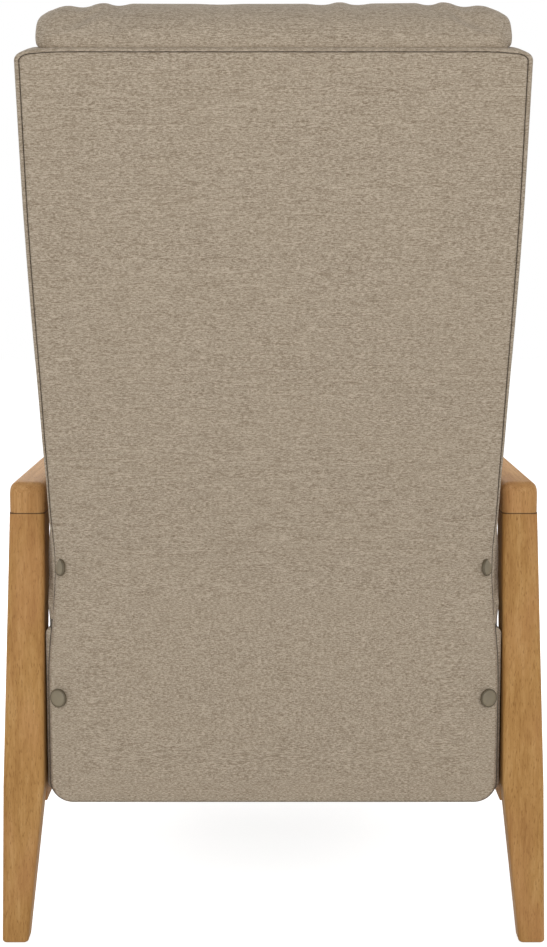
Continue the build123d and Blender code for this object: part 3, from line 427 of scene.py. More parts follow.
def tube_of(name, rings, material):
    """A closed mesh through rings of as many points each, with a fan over each end."""
    count = len(rings[0])
    points = [point for ring in rings for point in ring]
    faces = []
    for index in range(len(rings) - 1):
        faces += band(index * count, (index + 1) * count, count)
    for base, ring, order in ((0, rings[0], -1), ((len(rings) - 1) * count, rings[-1], 1)):
        centre = len(points)
        points.append(sum((Vector(point) for point in ring), Vector()) / count)
        for place in range(count):
            pair = (base + place, base + (place + 1) % count)[::order]
            faces.append((*pair, centre))
    made = piece_from(name, points, faces, material)
    shape = bmesh.new()
    shape.from_mesh(made.data)
    bmesh.ops.recalc_face_normals(shape, faces=shape.faces)
    shape.to_mesh(made.data)
    shape.free()
    return made


cloth_pressure = 4.0
cloth_quality = 4
cloth_frames = 20


def puff(piece, voxel, cap, held):
    """Swell a closed piece by cloth simulation, no point further than cap.

    held(points) says for each point whether it stays where it is.
    """
    modify(piece, "REMESH", mode="VOXEL", voxel_size=voxel)
    start = coordinates(piece)
    group = piece.vertex_groups.new(name="held")
    group.add(np.flatnonzero(held(start)).tolist(), 1.0, "REPLACE")
    cloth = piece.modifiers.new("cloth", "CLOTH")
    cloth.settings.quality = cloth_quality
    cloth.settings.use_pressure = True
    cloth.settings.uniform_pressure_force = cloth_pressure
    cloth.settings.effector_weights.gravity = 0
    cloth.settings.vertex_group_mass = "held"
    cloth.point_cache.frame_end = cloth_frames
    for number in range(1, cloth_frames + 1):
        scene.frame_set(number)
    settle(piece)
    moved = coordinates(piece) - start
    reach = np.linalg.norm(moved, axis=1, keepdims=True)
    moved *= np.minimum(1, cap / np.maximum(reach, 1e-9))
    set_coordinates(piece, start + moved)
    scene.frame_set(1)
    modify(piece, "SMOOTH", factor=0.5, iterations=3)
    modify(piece, "SUBSURF", levels=1, render_levels=1)


def finish_soft(piece, body, replaced):
    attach(piece, body)
    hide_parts(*replaced)


def bell(distance, width):
    """1 on a line, falling to nothing at width from it."""
    share = np.clip(np.abs(distance) / width, 0, 1)
    return (1 - share * share) ** 2


# Outside cover: one cloth from the skirt's hem over the waist to the top of the back
cover_low_z = hem_z - 0.0064
cover_top_s = 0.6325
bend_radius = 0.40
bend_tangent = bend_radius * tan(lean / 2)
waist_up = waist_z - cover_low_z
bend_start = waist_up - bend_tangent
bend_end = bend_start + bend_radius * lean
cover_length = bend_end + cover_top_s - bend_tangent
hem_corner = 0.029
top_corner = 0.0165
top_share = 0.68
seam_width = 0.0008
seam_depth = 0.0030
seam_end = -0.035
boxing_depth = 0.0592
cover_crown = 0.003
crown_start = 0.016
crown_reach = 0.08
boxing_slope = 0.0034
cloth_thickness = 0.0014
cover_columns = 44
cover_rows = 160
corner_steps = 7
# The sides' depth changes over this stretch below the waist
step_start = waist_up - 0.045
step_length = 0.05
# The fold beside the waist: its height, reach and width, and its middle and reach across the side
fold_height = waist_up + 0.008
fold_reach = 0.094
fold_width = 0.0086
fold_middle_share = 0.75
fold_reach_share = 0.45
# The top edge's droop towards its corners
droop_depth = 0.0028
droop_start_x = 0.225
droop_width = 0.045
# The skirt's sides get painted shade, the darker cloth, below this height and beyond this half width
shade_top_z = waist_z - 0.05
shade_half = 0.255
# Half widths and seam insets up the cover, by height over the hem
cover_halves = (
    (0.0, skirt_half), (0.168, skirt_half), (0.200, 0.2728), (0.228, 0.2694),
    (waist_up - 0.005, 0.2677), (waist_up + 0.05, 0.2675), (waist_up + 0.10, 0.2682),
    (waist_up + 0.134, 0.2690), (waist_up + 0.1655, 0.2708), (waist_up + 0.245, 0.2736),
    (waist_up + 0.317, 0.2765), (waist_up + 0.388, 0.2788), (waist_up + 0.456, 0.2804),
    (waist_up + 0.523, 0.2812), (cover_length, 0.2821),
)
seam_insets = (
    (0.0, 0.0056), (0.20, 0.0049), (waist_up - 0.04, 0.0014), (waist_up - 0.01, 0.0034),
    (waist_up + 0.022, 0.0050), (waist_up + 0.045, 0.0050), (waist_up + 0.070, 0.0034),
    (waist_up + 0.10, 0.0027), (waist_up + 0.165, 0.0036), (waist_up + 0.30, 0.0047),
    (cover_length, 0.0060),
)
# How much of the seam's groove shows up the cover
groove_shares = (
    (waist_up + seam_end - 0.01, 0.0), (waist_up + seam_end + 0.03, 0.3),
    (waist_up + 0.045, 0.3), (waist_up + 0.085, 1.0),
)
# Width and depth of the rounded edge on the skirt, at the roll of the waist and on the upper back
edge_widths = (
    (0.0, 0.0066), (waist_up - 0.06, 0.0070), (waist_up - 0.02, 0.013),
    (waist_up + 0.03, 0.017), (waist_up + 0.10, 0.0065),
)
edge_depths = (
    (0.0, 0.026), (waist_up - 0.06, 0.026), (waist_up - 0.02, 0.020),
    (waist_up + 0.03, 0.018), (waist_up + 0.10, 0.0065),
)


def eased(table, height):
    """A value from a (height, value) table, with its steps eased."""
    heights, values = zip(*table)
    near = [height + offset for offset in (-0.016, -0.008, 0.0, 0.008, 0.016)]
    return float(np.mean(np.interp(near, heights, values)))


def cover_half(height):
    return eased(cover_halves, height)


def cover_frame(height):
    """Point and outward direction of the cover's middle line, at a height along it from the hem."""
    angle = min(max((height - bend_start) / bend_radius, 0.0), lean)
    rise = Vector((0, sin(angle), cos(angle)))
    out = Vector((0, cos(angle), -sin(angle)))
    start = Vector((0, rear_y, cover_low_z + min(height, bend_start)))
    arc = Vector((0, bend_radius * (1 - cos(angle)), bend_radius * sin(angle)))
    beyond = max(height - bend_end, 0.0)
    return start + arc + rise * beyond, out


def side_depth(height):
    """How far the cover returns forward along its sides."""
    return skirt_depth + smooth((height - step_start) / step_length) * (boxing_depth - skirt_depth)


def cover_path(share, more):
    """The cover's outline from the middle of its hem round +X to the middle of its top.

    It is drawn in by a share of the seam's inset and by more metres besides.
    """
    def inset_at(height):
        return share * eased(seam_insets, height) + more

    low_inset = inset_at(0.0)
    high_inset = inset_at(cover_length)
    low_radius = max(hem_corner - low_inset, 0.0006)
    high_radius = max(top_corner - high_inset, 0.0006)
    low_x = skirt_half - low_inset - low_radius
    low_height = low_inset + low_radius
    high_x = cover_half(cover_length - top_corner) - high_inset - high_radius
    high_height = cover_length - top_share * (high_inset + high_radius)
    path = [(low_x * index / cover_columns, low_inset) for index in range(cover_columns)]
    for index in range(2 * corner_steps):
        angle = pi / 2 * index / (2 * corner_steps)
        path.append((low_x + low_radius * sin(angle), low_height - low_radius * cos(angle)))
    for index in range(cover_rows + 1):
        height = low_height + (high_height - low_height) * index / cover_rows
        path.append((cover_half(height) - inset_at(height), height))
    for index in range(1, 2 * corner_steps + 1):
        angle = pi / 2 * index / (2 * corner_steps)
        path.append((high_x + high_radius * cos(angle), high_height + top_share * high_radius * sin(angle)))
    for index in range(1, cover_columns + 1):
        path.append((high_x * (1 - index / cover_columns), high_height + top_share * high_radius))
    return [(x, height - top_droop(x, height)) for x, height in path]


def top_droop(x, height):
    """The top edge sinks a little towards its two corners."""
    across = unit((abs(x) - droop_start_x) / droop_width)
    up = unit((height - cover_length + 0.06) / 0.05)
    return droop_depth * across * across * up


def closed_path(half_path):
    """A half outline and its mirror image as one loop."""
    return half_path + [(-x, height) for x, height in half_path[-2:0:-1]]


def cover_point(x, height, depth):
    """A point x across, at a height along the cover, sunk in from its middle line by depth."""
    place, out = cover_frame(height)
    return place + Vector((x, 0, 0)) - out * depth


def edge_drop(inset, width, depth):
    """How far an edge rounded over this width and depth falls away at an inset from the side."""
    if inset >= width:
        return 0.0
    return depth * (1 - sqrt(max(1 - (1 - inset / width) ** 2, 0.0)))


def cover_drop(inset, height):
    """How far the cover's rounded edge falls away at an inset and a height."""
    return edge_drop(inset, eased(edge_widths, height), eased(edge_depths, height))


def waist_fold(height, share):
    """How far the cloth folds outward beside the waist, at a share of the side's depth."""
    up = float(bell(np.array(height - fold_height), fold_reach))
    return fold_width * up * float(bell(np.array(share - fold_middle_share), fold_reach_share))


# The cover's loops, from the hem that is turned inward: inset, and place behind the side's front edge
hem_turns = ((0.024, 0.0012), (0.012, 0.0004), (0.004, 0.0), (0.0012, 0.0006))
# Shares of the sides' depth, and of the seam's inset over the rounded edge
side_shares = (0.93, 0.8, 0.68, 0.56, 0.44, 0.32, 0.2, 0.08, 0.0)
edge_shares = (0.12, 0.26, 0.40)
# Across the seam: steps of its width, and the share of its depth there
groove_steps = ((-1.3, 0.0), (-0.7, 0.7), (0, 1.0), (0.7, 0.7), (1.3, 0.0))
# Insets beyond the seam, up to the grid of the flat rear
beyond_seam = (0.0032, 0.0062, 0.0105)
least_side = 0.0005


def side_loops():
    """The cover's hem and sides as closed loops of points."""
    loops = []
    for inset, back in hem_turns:
        outline = closed_path(cover_path(0.0, inset))
        loops.append([
            cover_point(x, height - boxing_slope * (height > cover_length / 2), side_depth(height) - back)
            for x, height in outline
        ])
    for share in side_shares:
        loop = []
        for x, height in closed_path(cover_path(0.0, 0.0)):
            drop = eased(edge_depths, height)
            depth = drop + share * max(side_depth(height) - drop, least_side)
            fold = waist_fold(height, share) if x > 0 else -waist_fold(height, share)
            near_top = unit((height - cover_length + 0.03) / 0.025)
            loop.append(cover_point(x + fold, height - boxing_slope * share * near_top, depth))
        loops.append(loop)
    return loops


def rear_loops():
    """The rounded edge, the sewn groove and what lies just inside it as closed loops of points."""
    rings = [(share, 0.0, 0.0) for share in edge_shares]
    rings += [(1.0, step * seam_width, sunk_share) for step, sunk_share in groove_steps]
    rings += [(1.0, inset, 0.0) for inset in beyond_seam]
    loops = []
    for share, more, sunk_share in rings:
        loop = []
        for x, height in closed_path(cover_path(share, more)):
            inset = share * eased(seam_insets, height) + more
            sunk = seam_depth * sunk_share * eased(groove_shares, height)
            loop.append(cover_point(x, height, cover_drop(inset, height) + sunk))
        loops.append(loop)
    return loops


def make_outside_cover():
    """The shell: a hem turned inward, side returns, a rounded edge, a sewn seam and a crowned panel, with
    painted shade in the seam's groove and on the skirt's sides.
    """
    loops = side_loops()
    first_groove = len(loops) + len(edge_shares)
    loops += rear_loops()
    points = [point for loop in loops for point in loop]
    count = len(loops[0])
    faces, painted_shade_faces = [], []
    for index in range(len(loops) - 1):
        for place in range(count):
            after = (place + 1) % count
            low, high = index * count, (index + 1) * count
            faces.append((low + place, high + place, high + after, low + after))
            point = loops[index][place]
            # Painted shade: the bottom of the seam's groove and the skirt's side strips beside the legs
            # take the darker cloth
            sewn = point.z > waist_z + seam_end and first_groove + 1 <= index <= first_groove + 2
            shaded = point.z < shade_top_z and abs(point.x) > shade_half and index < first_groove - 1
            painted_shade_faces.append(sewn or shaded)
    for corners in fill_rear(points, (len(loops) - 1) * count):
        faces.append(corners)
        painted_shade_faces.append(False)
    made = piece_from("outside_cover", points, faces, fabric)
    made.data.materials.append(painted_shade_fabric)
    made.data.polygons.foreach_set("material_index", [int(flag) for flag in painted_shade_faces])
    modify(made, "SOLIDIFY", thickness=cloth_thickness, offset=-1.0)
    return made


def fill_rear(points, inner_start):
    """Add the flat rear's points, and return the faces of its grid.

    The grid's edge is the innermost loop, whose first point has the number inner_start.
    """
    half = cover_path(1.0, beyond_seam[-1])
    low_split = cover_columns + corner_steps
    high_split = len(half) - 1 - low_split
    right = half[low_split:high_split + 1]
    bottom = [(-x, height) for x, height in half[low_split:0:-1]] + half[:low_split + 1]
    top = [(-x, height) for x, height in half[high_split:-1]] + half[:high_split - 1:-1]
    columns, rows = len(bottom) - 1, len(right) - 1
    total = len(half) - 1
    (low_x, low_height), (high_x, high_height) = right[0], right[-1]

    def loop_index(row, column):
        """Index of an edge point of the inner grid on the innermost loop."""
        if row == 0:
            place = column - columns // 2
        elif column == columns:
            place = low_split + row
        elif row == rows:
            place = total + (columns // 2 - column)
        else:
            place = 2 * total - low_split - row
        return inner_start + place % (2 * total)

    grid = {}
    for row, (side_x, side_height) in enumerate(right):
        up = row / rows
        for column in range(columns + 1):
            if row in (0, rows) or column in (0, columns):
                grid[row, column] = loop_index(row, column)
                continue
            across = 2 * column / columns - 1
            x = across * (side_x - (1 - up) * low_x - up * high_x)
            x += (1 - up) * bottom[column][0] + up * top[column][0]
            height = side_height + (1 - up) * (bottom[column][1] - low_height)
            height += up * (top[column][1] - high_height)
            inset = min(cover_half(height) - abs(x), height + 0.001)
            crown = cover_crown * smooth((min(inset, cover_length - height) - crown_start) / crown_reach)
            grid[row, column] = len(points)
            points.append(cover_point(x, height, cover_drop(inset, height) - crown))
    return [
        (grid[row, column], grid[row + 1, column], grid[row + 1, column + 1], grid[row, column + 1])
        for row in range(rows) for column in range(columns)
    ]


outside_cover = make_outside_cover()
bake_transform(outside_cover)
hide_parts("rear_skirt", "waist_gusset", "outside_back_panel", "back_boxing")


# Soft parts

def reach_to(values, pivot, target):
    """Stretch what lies beyond pivot so that the furthest value comes to target."""
    if target > pivot:
        beyond = np.maximum(values - pivot, 0)
        return values + beyond * ((target - pivot) / beyond.max() - 1)
    beyond = np.maximum(pivot - values, 0)
    return values - beyond * ((pivot - target) / beyond.max() - 1)


def fitted(values, middle, low, high):
    """Stretch both sides of middle so that the values reach from low to high."""
    return reach_to(reach_to(values, middle, high), middle, low)


def arc_through(first, middle, last, count):
    """Points on the circle through three points of a plane, from first up to the one before last."""
    (ax, ay), (bx, by), (cx, cy) = first, middle, last
    twice = 2 * (ax * (by - cy) + bx * (cy - ay) + cx * (ay - by))
    a, b, c = ax * ax + ay * ay, bx * bx + by * by, cx * cx + cy * cy
    centre = ((a * (by - cy) + b * (cy - ay) + c * (ay - by)) / twice,
              (a * (cx - bx) + b * (ax - cx) + c * (bx - ax)) / twice)
    angles = [atan2(y - centre[1], x - centre[0]) for x, y in (first, middle, last)]
    radius = sqrt((ax - centre[0]) ** 2 + (ay - centre[1]) ** 2)
    to_middle = (angles[1] - angles[0]) % (2 * pi)
    to_last = (angles[2] - angles[0]) % (2 * pi)
    if to_middle > to_last:
        to_last -= 2 * pi
    turned = [angles[0] + to_last * index / count for index in range(count)]
    return [(centre[0] + radius * cos(angle), centre[1] + radius * sin(angle)) for angle in turned]


def arc_points(start, end, bulge, count):
    """Points of a shallow arc from start to end, bulging to the left of the way along it."""
    dt, ds = end[0] - start[0], end[1] - start[1]
    length = sqrt(dt * dt + ds * ds)
    middle = ((start[0] + end[0]) / 2 + ds / length * bulge, (start[1] + end[1]) / 2 - dt / length * bulge)
    return arc_through(start, middle, end, count)


def stations(half, corner, count):
    """(x, shrink) across a piece whose ends are rounded by corner, closer together at the ends."""
    made = []
    for index in range(count):
        x = half * sin(pi / 2 * (2 * index / (count - 1) - 1))
        over = max(abs(x) - (half - corner), 0.0)
        made.append((x, corner - sqrt(max(corner ** 2 - over ** 2, 0.0))))
    return made


def to_back(points):
    """Columns x, s and t of world points, on the back's slope."""
    offset = points - np.array(on_back(0, 0, 0))
    return offset[:, 0], offset @ np.array(back_up), -offset @ np.array(back_out)


def from_back(x, s, t):
    origin = np.array(on_back(0, 0, 0))
    sloped = np.outer(s, np.array(back_up)) - np.outer(t, np.array(back_out))
    return origin + sloped + np.outer(x, (1.0, 0.0, 0.0))


def welt(name, piece, loop, radius, body):
    """A sewn-in piping laid on a piece's surface along a closed loop of points."""
    tree = BVHTree.FromObject(piece, bpy.context.evaluated_depsgraph_get())
    places = []
    for point in loop:
        place, normal, _, _ = tree.find_nearest(Vector(point))
        places.append(np.array(place + normal * radius * 0.3))
    for _ in range(3):
        places = [(places[index - 1] + 2 * places[index] + places[(index + 1) % len(places)]) / 4
                  for index in range(len(places))]
    around = 8
    points, faces = [], []
    count = len(places)
    for index, place in enumerate(places):
        along = Vector(places[(index + 1) % count] - places[index - 1]).normalized()
        normal = tree.find_nearest(Vector(place))[1]
        side = along.cross(normal).normalized()
        normal = side.cross(along)
        for step in range(around):
            angle = 2 * pi * step / around
            points.append(Vector(place) + (side * cos(angle) + normal * sin(angle)) * radius)
    for index in range(count):
        faces += band(index * around, (index + 1) % count * around, around)
    made = piece_from(name, points, faces, fabric)
    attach(made, body)
    return made


def outline_ring(half_x, low_y, high_y, inset, corner, draw, z, around=9, along=13):
    """A cushion's outline at one height, inset from its box: round corners, and sides drawn in between."""
    half_x, low_y, high_y = half_x - inset, low_y + inset, high_y - inset
    bend = corner * (1 - cos(pi / 4))
    corners = []
    for x_sign, y, y_sign in ((1, low_y, 1), (-1, low_y, 1), (-1, high_y, -1), (1, high_y, -1)):
        at_side = (x_sign * half_x, y + y_sign * corner)
        between = (x_sign * (half_x - bend), y + y_sign * bend)
        at_end = (x_sign * (half_x - corner), y)
        corners.append((at_side, between, at_end)[::x_sign * y_sign])
    middles = (
        (0, low_y + draw),
        (-half_x + draw, (low_y + high_y) / 2),
        (0, high_y - draw),
        (half_x - draw, (low_y + high_y) / 2),
    )
    ring = []
    for index, (first, middle, last) in enumerate(corners):
        ring += arc_through(first, middle, last, around)
        ring += arc_through(last, middles[index], corners[(index + 1) % 4][0], along)
    return [Vector((x, y, z)) for x, y in ring]


# How high a cushion's cover starts over what carries it
lift = 0.0004
seat_corner = 0.046
seat_draw = 0.005
seat_side_bulge = 0.001
seat_front_bulge = 0.002
seat_crown = 0.005
# The cushion before it is puffed: share of its height, and inset
seat_layers = (
    (0.01, 0.016), (0.10, 0.006), (0.30, 0.002), (0.50, 0.001), (0.66, 0.004), (0.76, 0.011),
    (0.84, 0.024), (0.90, 0.044), (0.945, 0.074), (0.965, 0.120),
)
seat_welt_shares = ((0.16, "low"), (0.70, "high"))
seat_welt_radius = 0.0023
seat_welt_corner = 0.05
seat_welt_reach = 0.004


def make_seat_cushion():
    """A boxed cushion with a crowned top and sides that draw in between its corners."""
    low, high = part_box("seat_cushion")
    body = high.z - low.z
    rings = [
        outline_ring(high.x, low.y, high.y, inset, seat_corner, seat_draw, low.z + share * body)
        for share, inset in seat_layers
    ]
    made = tube_of("seat_cushion_cover", rings, fabric)

    def held(points):
        return points[:, 2] < low.z + 0.006

    puff(made, voxel=0.0065, cap=0.022, held=held)
    points = coordinates(made)
    x, y, z = points.T
    x = fitted(x, 0, low.x - seat_side_bulge, high.x + seat_side_bulge)
    y = fitted(y, (low.y + high.y) / 2, low.y - seat_front_bulge, high.y)
    z = fitted(z, low.z + body / 2, low.z + lift, high.z + seat_crown)
    set_coordinates(made, np.stack((x, y, z), axis=1))
    return made


seat_cushion = make_seat_cushion()
finish_soft(seat_cushion, "base", ["seat_cushion"])
seat_low, seat_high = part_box("seat_cushion")
for share, word in seat_welt_shares:
    level = seat_low.z + share * (seat_high.z - seat_low.z)
    loop = outline_ring(
        seat_high.x, seat_low.y, seat_high.y, -seat_welt_reach, seat_welt_corner, seat_draw, level, 30, 110
    )
    welt(f"seat_cushion_welt_{word}", seat_cushion, loop, seat_welt_radius, "base")


# The back cushion's front between its rolls, as t in front of the rear face and s up the back
cushion_front = ((0.173, -0.063), (0.222, 0.022), (0.233, 0.143), (0.208, 0.285), (0.173, 0.424))
roll_bulge = 0.013
cushion_rear_t = 0.060
cushion_foot_t = 0.104
cushion_half = 0.256
cushion_corner = 0.024
cushion_reach_x = 0.2622
cushion_reach_t = (0.0575, 0.2435)
cushion_reach_s = (-0.066, 0.4283)
crease_depth = 0.013
crease_width = 0.018


def make_back_cushion():
    """A channelled back: four rolls across the chair, held down along three sewn creases."""
    low_s = cushion_front[0][1]
    top_t, top_s = cushion_front[-1]

    def ring(x, shrink):
        drawn = [(t - shrink, s) for t, s in cushion_front]
        drawn[0] = (drawn[0][0], drawn[0][1] + shrink)
        drawn[-1] = (drawn[-1][0], drawn[-1][1] - shrink)
        outline = []
        for start, end in zip(drawn[:-1], drawn[1:]):
            outline += arc_points(start, end, roll_bulge, 9)
        top, rear, foot = top_s - shrink, cushion_rear_t + shrink, cushion_foot_t + shrink
        outline += [(top_t - shrink, top), (0.115, top), (rear, top), (rear, 0.30), (rear, 0.20),
                    (rear, 0.09), (foot, 0.003), (foot, low_s + shrink)]
        return [on_back(x, s, t) for t, s in outline]

    rings = [ring(x, shrink) for x, shrink in stations(cushion_half, cushion_corner, 17)]
    made = tube_of("back_cushion_cover", rings, fabric)
    creases = cushion_front[1:-1]

    def held(points):
        x, s, t = to_back(points)
        pins = (t < 0.068) | (s < -0.052)
        for crease_t, crease_s in creases:
            pins |= (np.abs(s - crease_s) < 0.005) & (t > crease_t - 0.03)
        return pins

    puff(made, voxel=0.0065, cap=0.014, held=held)
    x, s, t = to_back(coordinates(made))
    x = fitted(x, 0, -cushion_reach_x, cushion_reach_x)
    t = fitted(t, 0.12, *cushion_reach_t)
    s = fitted(s, 0.2, *cushion_reach_s)
    for crease_t, crease_s in creases:
        near_front = np.clip((t - crease_t + 0.075) / 0.06, 0, 1)
        t = t - crease_depth * bell(s - crease_s, crease_width) * near_front
    set_coordinates(made, from_back(x, s, t))
    return made


back_cushion = make_back_cushion()
finish_soft(back_cushion, "back", ["back_cushion"])


# The pillow's rest on the cover's top edge, then its size before it is puffed and its reach after
pillow_rest_s = cover_top_s - 0.004
pillow_half = 0.267
pillow_corner = 0.027
pillow_reach_x = 0.2688
pillow_reach_t = (0.0075, 0.2135)
pillow_reach_s = (0.4290, 0.6722)
crest_t = 0.077
crest_top_s = 0.668
# Small gathers along the crest: place across, depth and width
crest_dips = (
    (0.232, -0.0012, 0.013), (0.211, 0.0020, 0.014), (0.191, -0.0016, 0.013), (0.171, 0.0020, 0.015),
    (0.060, 0.0008, 0.030), (-0.053, 0.0014, 0.018), (-0.074, -0.0014, 0.014), (-0.094, 0.0016, 0.018),
    (-0.172, 0.0020, 0.015), (-0.191, -0.0016, 0.013), (-0.211, 0.0020, 0.014), (-0.232, -0.0010, 0.013),
)


def make_head_pillow():
    """A pillow over the top of the back, gathered along its crest."""
    low_s, crest_s, rear_t, front_t, inner_t = 0.432, 0.666, 0.010, 0.207, 0.0635

    def ring(x, shrink):
        low, top_s, front = low_s + shrink, crest_s - shrink, front_t - shrink
        rear = rear_t + shrink
        reach, drop = front - crest_t, top_s - low
        rear_high = (rear, pillow_rest_s + 0.015 - shrink / 2)
        blend = (0.45 * crest_t, top_s - 0.12 * (top_s - pillow_rest_s))
        shoulder = (crest_t + 0.74 * reach, top_s - 0.2 * drop)
        nose = (front, (top_s + low) / 2)
        cheek = (front - 0.05 * reach, low + 0.25 * drop)
        chin = (crest_t + 0.8 * reach, low)
        outline = [(inner_t, low), (inner_t, (low + pillow_rest_s) / 2), (inner_t, pillow_rest_s)]
        outline += [((inner_t + rear) / 2, pillow_rest_s), (rear, pillow_rest_s)]
        outline += arc_through(rear_high, blend, (crest_t, top_s), 8)
        outline += arc_through((crest_t, top_s), shoulder, nose, 12)
        outline += arc_through(nose, cheek, chin, 8)
        outline += [chin, ((chin[0] + inner_t) / 2, low)]
        return [on_back(x, s, t) for t, s in outline]

    rings = [ring(x, shrink) for x, shrink in stations(pillow_half, pillow_corner, 19)]
    made = tube_of("head_pillow_cover", rings, fabric)

    def held(points):
        x, s, t = to_back(points)
        return ((t < 0.070) & (s < pillow_rest_s + 0.006)) | (s < low_s + 0.006)

    puff(made, voxel=0.0055, cap=0.010, held=held)
    x, s, t = to_back(coordinates(made))
    x = fitted(x, 0, -pillow_reach_x, pillow_reach_x)
    t = reach_to(reach_to(t, 0.12, pillow_reach_t[1]), 0.07, pillow_reach_t[0])
    s = reach_to(reach_to(s, pillow_rest_s, pillow_reach_s[1]), 0.5, pillow_reach_s[0])
    for place, depth, width in crest_dips:
        over_crest = bell(np.maximum(np.abs(t - 0.085) - 0.02, 0), 0.085)
        near_top = bell(np.maximum(crest_top_s - s, 0), 0.06)
        s = s - depth * bell(x - place, width) * over_crest * near_top
    set_coordinates(made, from_back(x, s, t))
    return made


head_pillow = make_head_pillow()
finish_soft(head_pillow, "back", ["head_pillow"])


pad_corner = 0.022
pad_draw = 0.003
pad_bulge = 0.002
pad_line_depth = 0.007
pad_line_width = 0.014
# The pad before it is puffed: share of its thickness, and inset
pad_layers = (
    (0.02, 0.008), (0.12, 0.003), (0.35, 0.001), (0.55, 0.003), (0.70, 0.009), (0.80, 0.018),
    (0.87, 0.032), (0.91, 0.055),
)
pad_welt_radius = 0.0021
pad_welt_corner = 0.025
pad_welt_reach = 0.003
pad_welt_back = 0.022


def make_footrest_pad():
    """The footrest's padded front, with a sewn line across its middle."""
    low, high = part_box("footrest_pad")
    thick = high.y - low.y
    rings = []
    for share, inset in pad_layers:
        flat = outline_ring(high.x, low.z, high.z, inset, pad_corner, pad_draw, share * thick)
        rings.append([Vector((point.x, high.y - point.z, point.y)) for point in flat])
    made = tube_of("footrest_pad_cover", rings, fabric)
    middle = (low.z + high.z) / 2

    def held(points):
        line = (np.abs(points[:, 2] - middle) < 0.004) & (points[:, 1] < low.y + 0.03)
        return line | (points[:, 1] > high.y - 0.005)

    puff(made, voxel=0.006, cap=0.012, held=held)
    x, y, z = coordinates(made).T
    x = fitted(x, 0, low.x, high.x)
    z = fitted(z, middle, low.z, high.z)
    y = fitted(y, high.y - 0.02, low.y - pad_bulge, high.y - lift)
    near_front = np.clip((low.y + 0.04 - y) / 0.03, 0, 1)
    y = y + pad_line_depth * bell(z - middle, pad_line_width) * near_front
    set_coordinates(made, np.stack((x, y, z), axis=1))
    return made


footrest_pad = make_footrest_pad()
finish_soft(footrest_pad, "footrest", ["footrest_pad"])
pad_low, pad_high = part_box("footrest_pad")
flat_loop = outline_ring(
    pad_high.x, pad_low.z, pad_high.z, -pad_welt_reach, pad_welt_corner, pad_draw, 0.0, 24, 110
)
pad_loop = [Vector((point.x, pad_low.y + pad_welt_back, point.y)) for point in flat_loop]
welt("footrest_pad_welt", footrest_pad, pad_loop, pad_welt_radius, "footrest")


# Upholstered sides of the seat box

side_padding = 0.0062
side_roll = 0.010
side_steps = (0.0, 0.0006, 0.0022, 0.0048, 0.0075, side_roll, 0.016)
side_grid = 0.012
grid_margin = 0.02
least_step = 0.003
window_slack = 0.0011
plate_margin = 0.024


def grid_marks(start, end, extra):
    """Places along a side panel, closer together at its ends, with the extra places among them."""
    inside = [start + value for value in side_steps] + [end - value for value in side_steps]
    flat = end - start - 2 * grid_margin
    count = int(flat / side_grid)
    inside += [start + grid_margin + index * flat / count for index in range(count + 1)]
    inside = [value for value in inside if all(abs(value - mark) > least_step for mark in extra)]
    return sorted(set(round(value, 6) for value in [*inside, *extra]))


def make_side_panel(side, word):
    """A padded board with rolled edges; the sitter's right one has a window behind the switch."""
    low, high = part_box(f"seat_side_{word}")
    inner, board = sorted((abs(low.x), abs(high.x)))
    outer = board + side_padding
    window = ()
    if side < 0:
        first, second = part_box("footrest_rocker"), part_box("back_rocker")
        window = (
            first[0].y - window_slack, second[1].y + window_slack,
            first[0].z - window_slack, first[1].z + window_slack,
        )
    ys = grid_marks(low.y, high.y, window[:2])
    zs = grid_marks(low.z, high.z, window[2:])
    plate_low, plate_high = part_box("switch_panel")

    def surface(y, z):
        """How far out the panel's face lies; it sinks to the board round the switch plate."""
        inset = min(y - low.y, high.y - y, z - low.z, high.z - z)
        padded = outer - edge_drop(inset, side_roll, side_roll)
        if side > 0:
            return padded
        away = max(plate_low.y - y, y - plate_high.y, plate_low.z - z, z - plate_high.z, 0.0)
        return board + (padded - board) * smooth(away / plate_margin)

    def lifted(y, z):
        """The height of a point once the lower rear corner is rounded like the skirt's."""
        past = max(y - (high.y - hem_corner), 0.0)
        raised = hem_corner - sqrt(hem_corner ** 2 - past ** 2)
        return z + raised * (high.z - z) / (high.z - low.z)

    points, index = [], {}
    for row, z in enumerate(zs):
        for column, y in enumerate(ys):
            index[row, column] = len(points)
            points.append((side * surface(y, z), y, lifted(y, z)))
    faces = []
    for row in range(len(zs) - 1):
        for column in range(len(ys) - 1):
            y, z = (ys[column] + ys[column + 1]) / 2, (zs[row] + zs[row + 1]) / 2
            if window and window[0] < y < window[1] and window[2] < z < window[3]:
                continue
            faces.append((index[row, column], index[row, column + 1],
                          index[row + 1, column + 1], index[row + 1, column]))
    made = piece_from(f"side_cover_{word}", points, faces, fabric)
    shape = bmesh.new()
    shape.from_mesh(made.data)
    for vertex in [vertex for vertex in shape.verts if not vertex.link_faces]:
        shape.verts.remove(vertex)
    edges = [edge for edge in shape.edges if edge.is_boundary]
    grown = bmesh.ops.extrude_edge_only(shape, edges=edges)
    for item in grown["geom"]:
        if isinstance(item, bmesh.types.BMVert):
            item.co.x = side * inner
    bmesh.ops.recalc_face_normals(shape, faces=shape.faces)
    shape.to_mesh(made.data)
    shape.free()
    smooth_faces(made.data)
    return made


for side, word in sides:
    side_panel = make_side_panel(side, word)
    finish_soft(side_panel, "base", [f"seat_side_{word}"])


# Snap buttons

button_stud = 0.010
button_top = 0.00425
face_share = 0.85
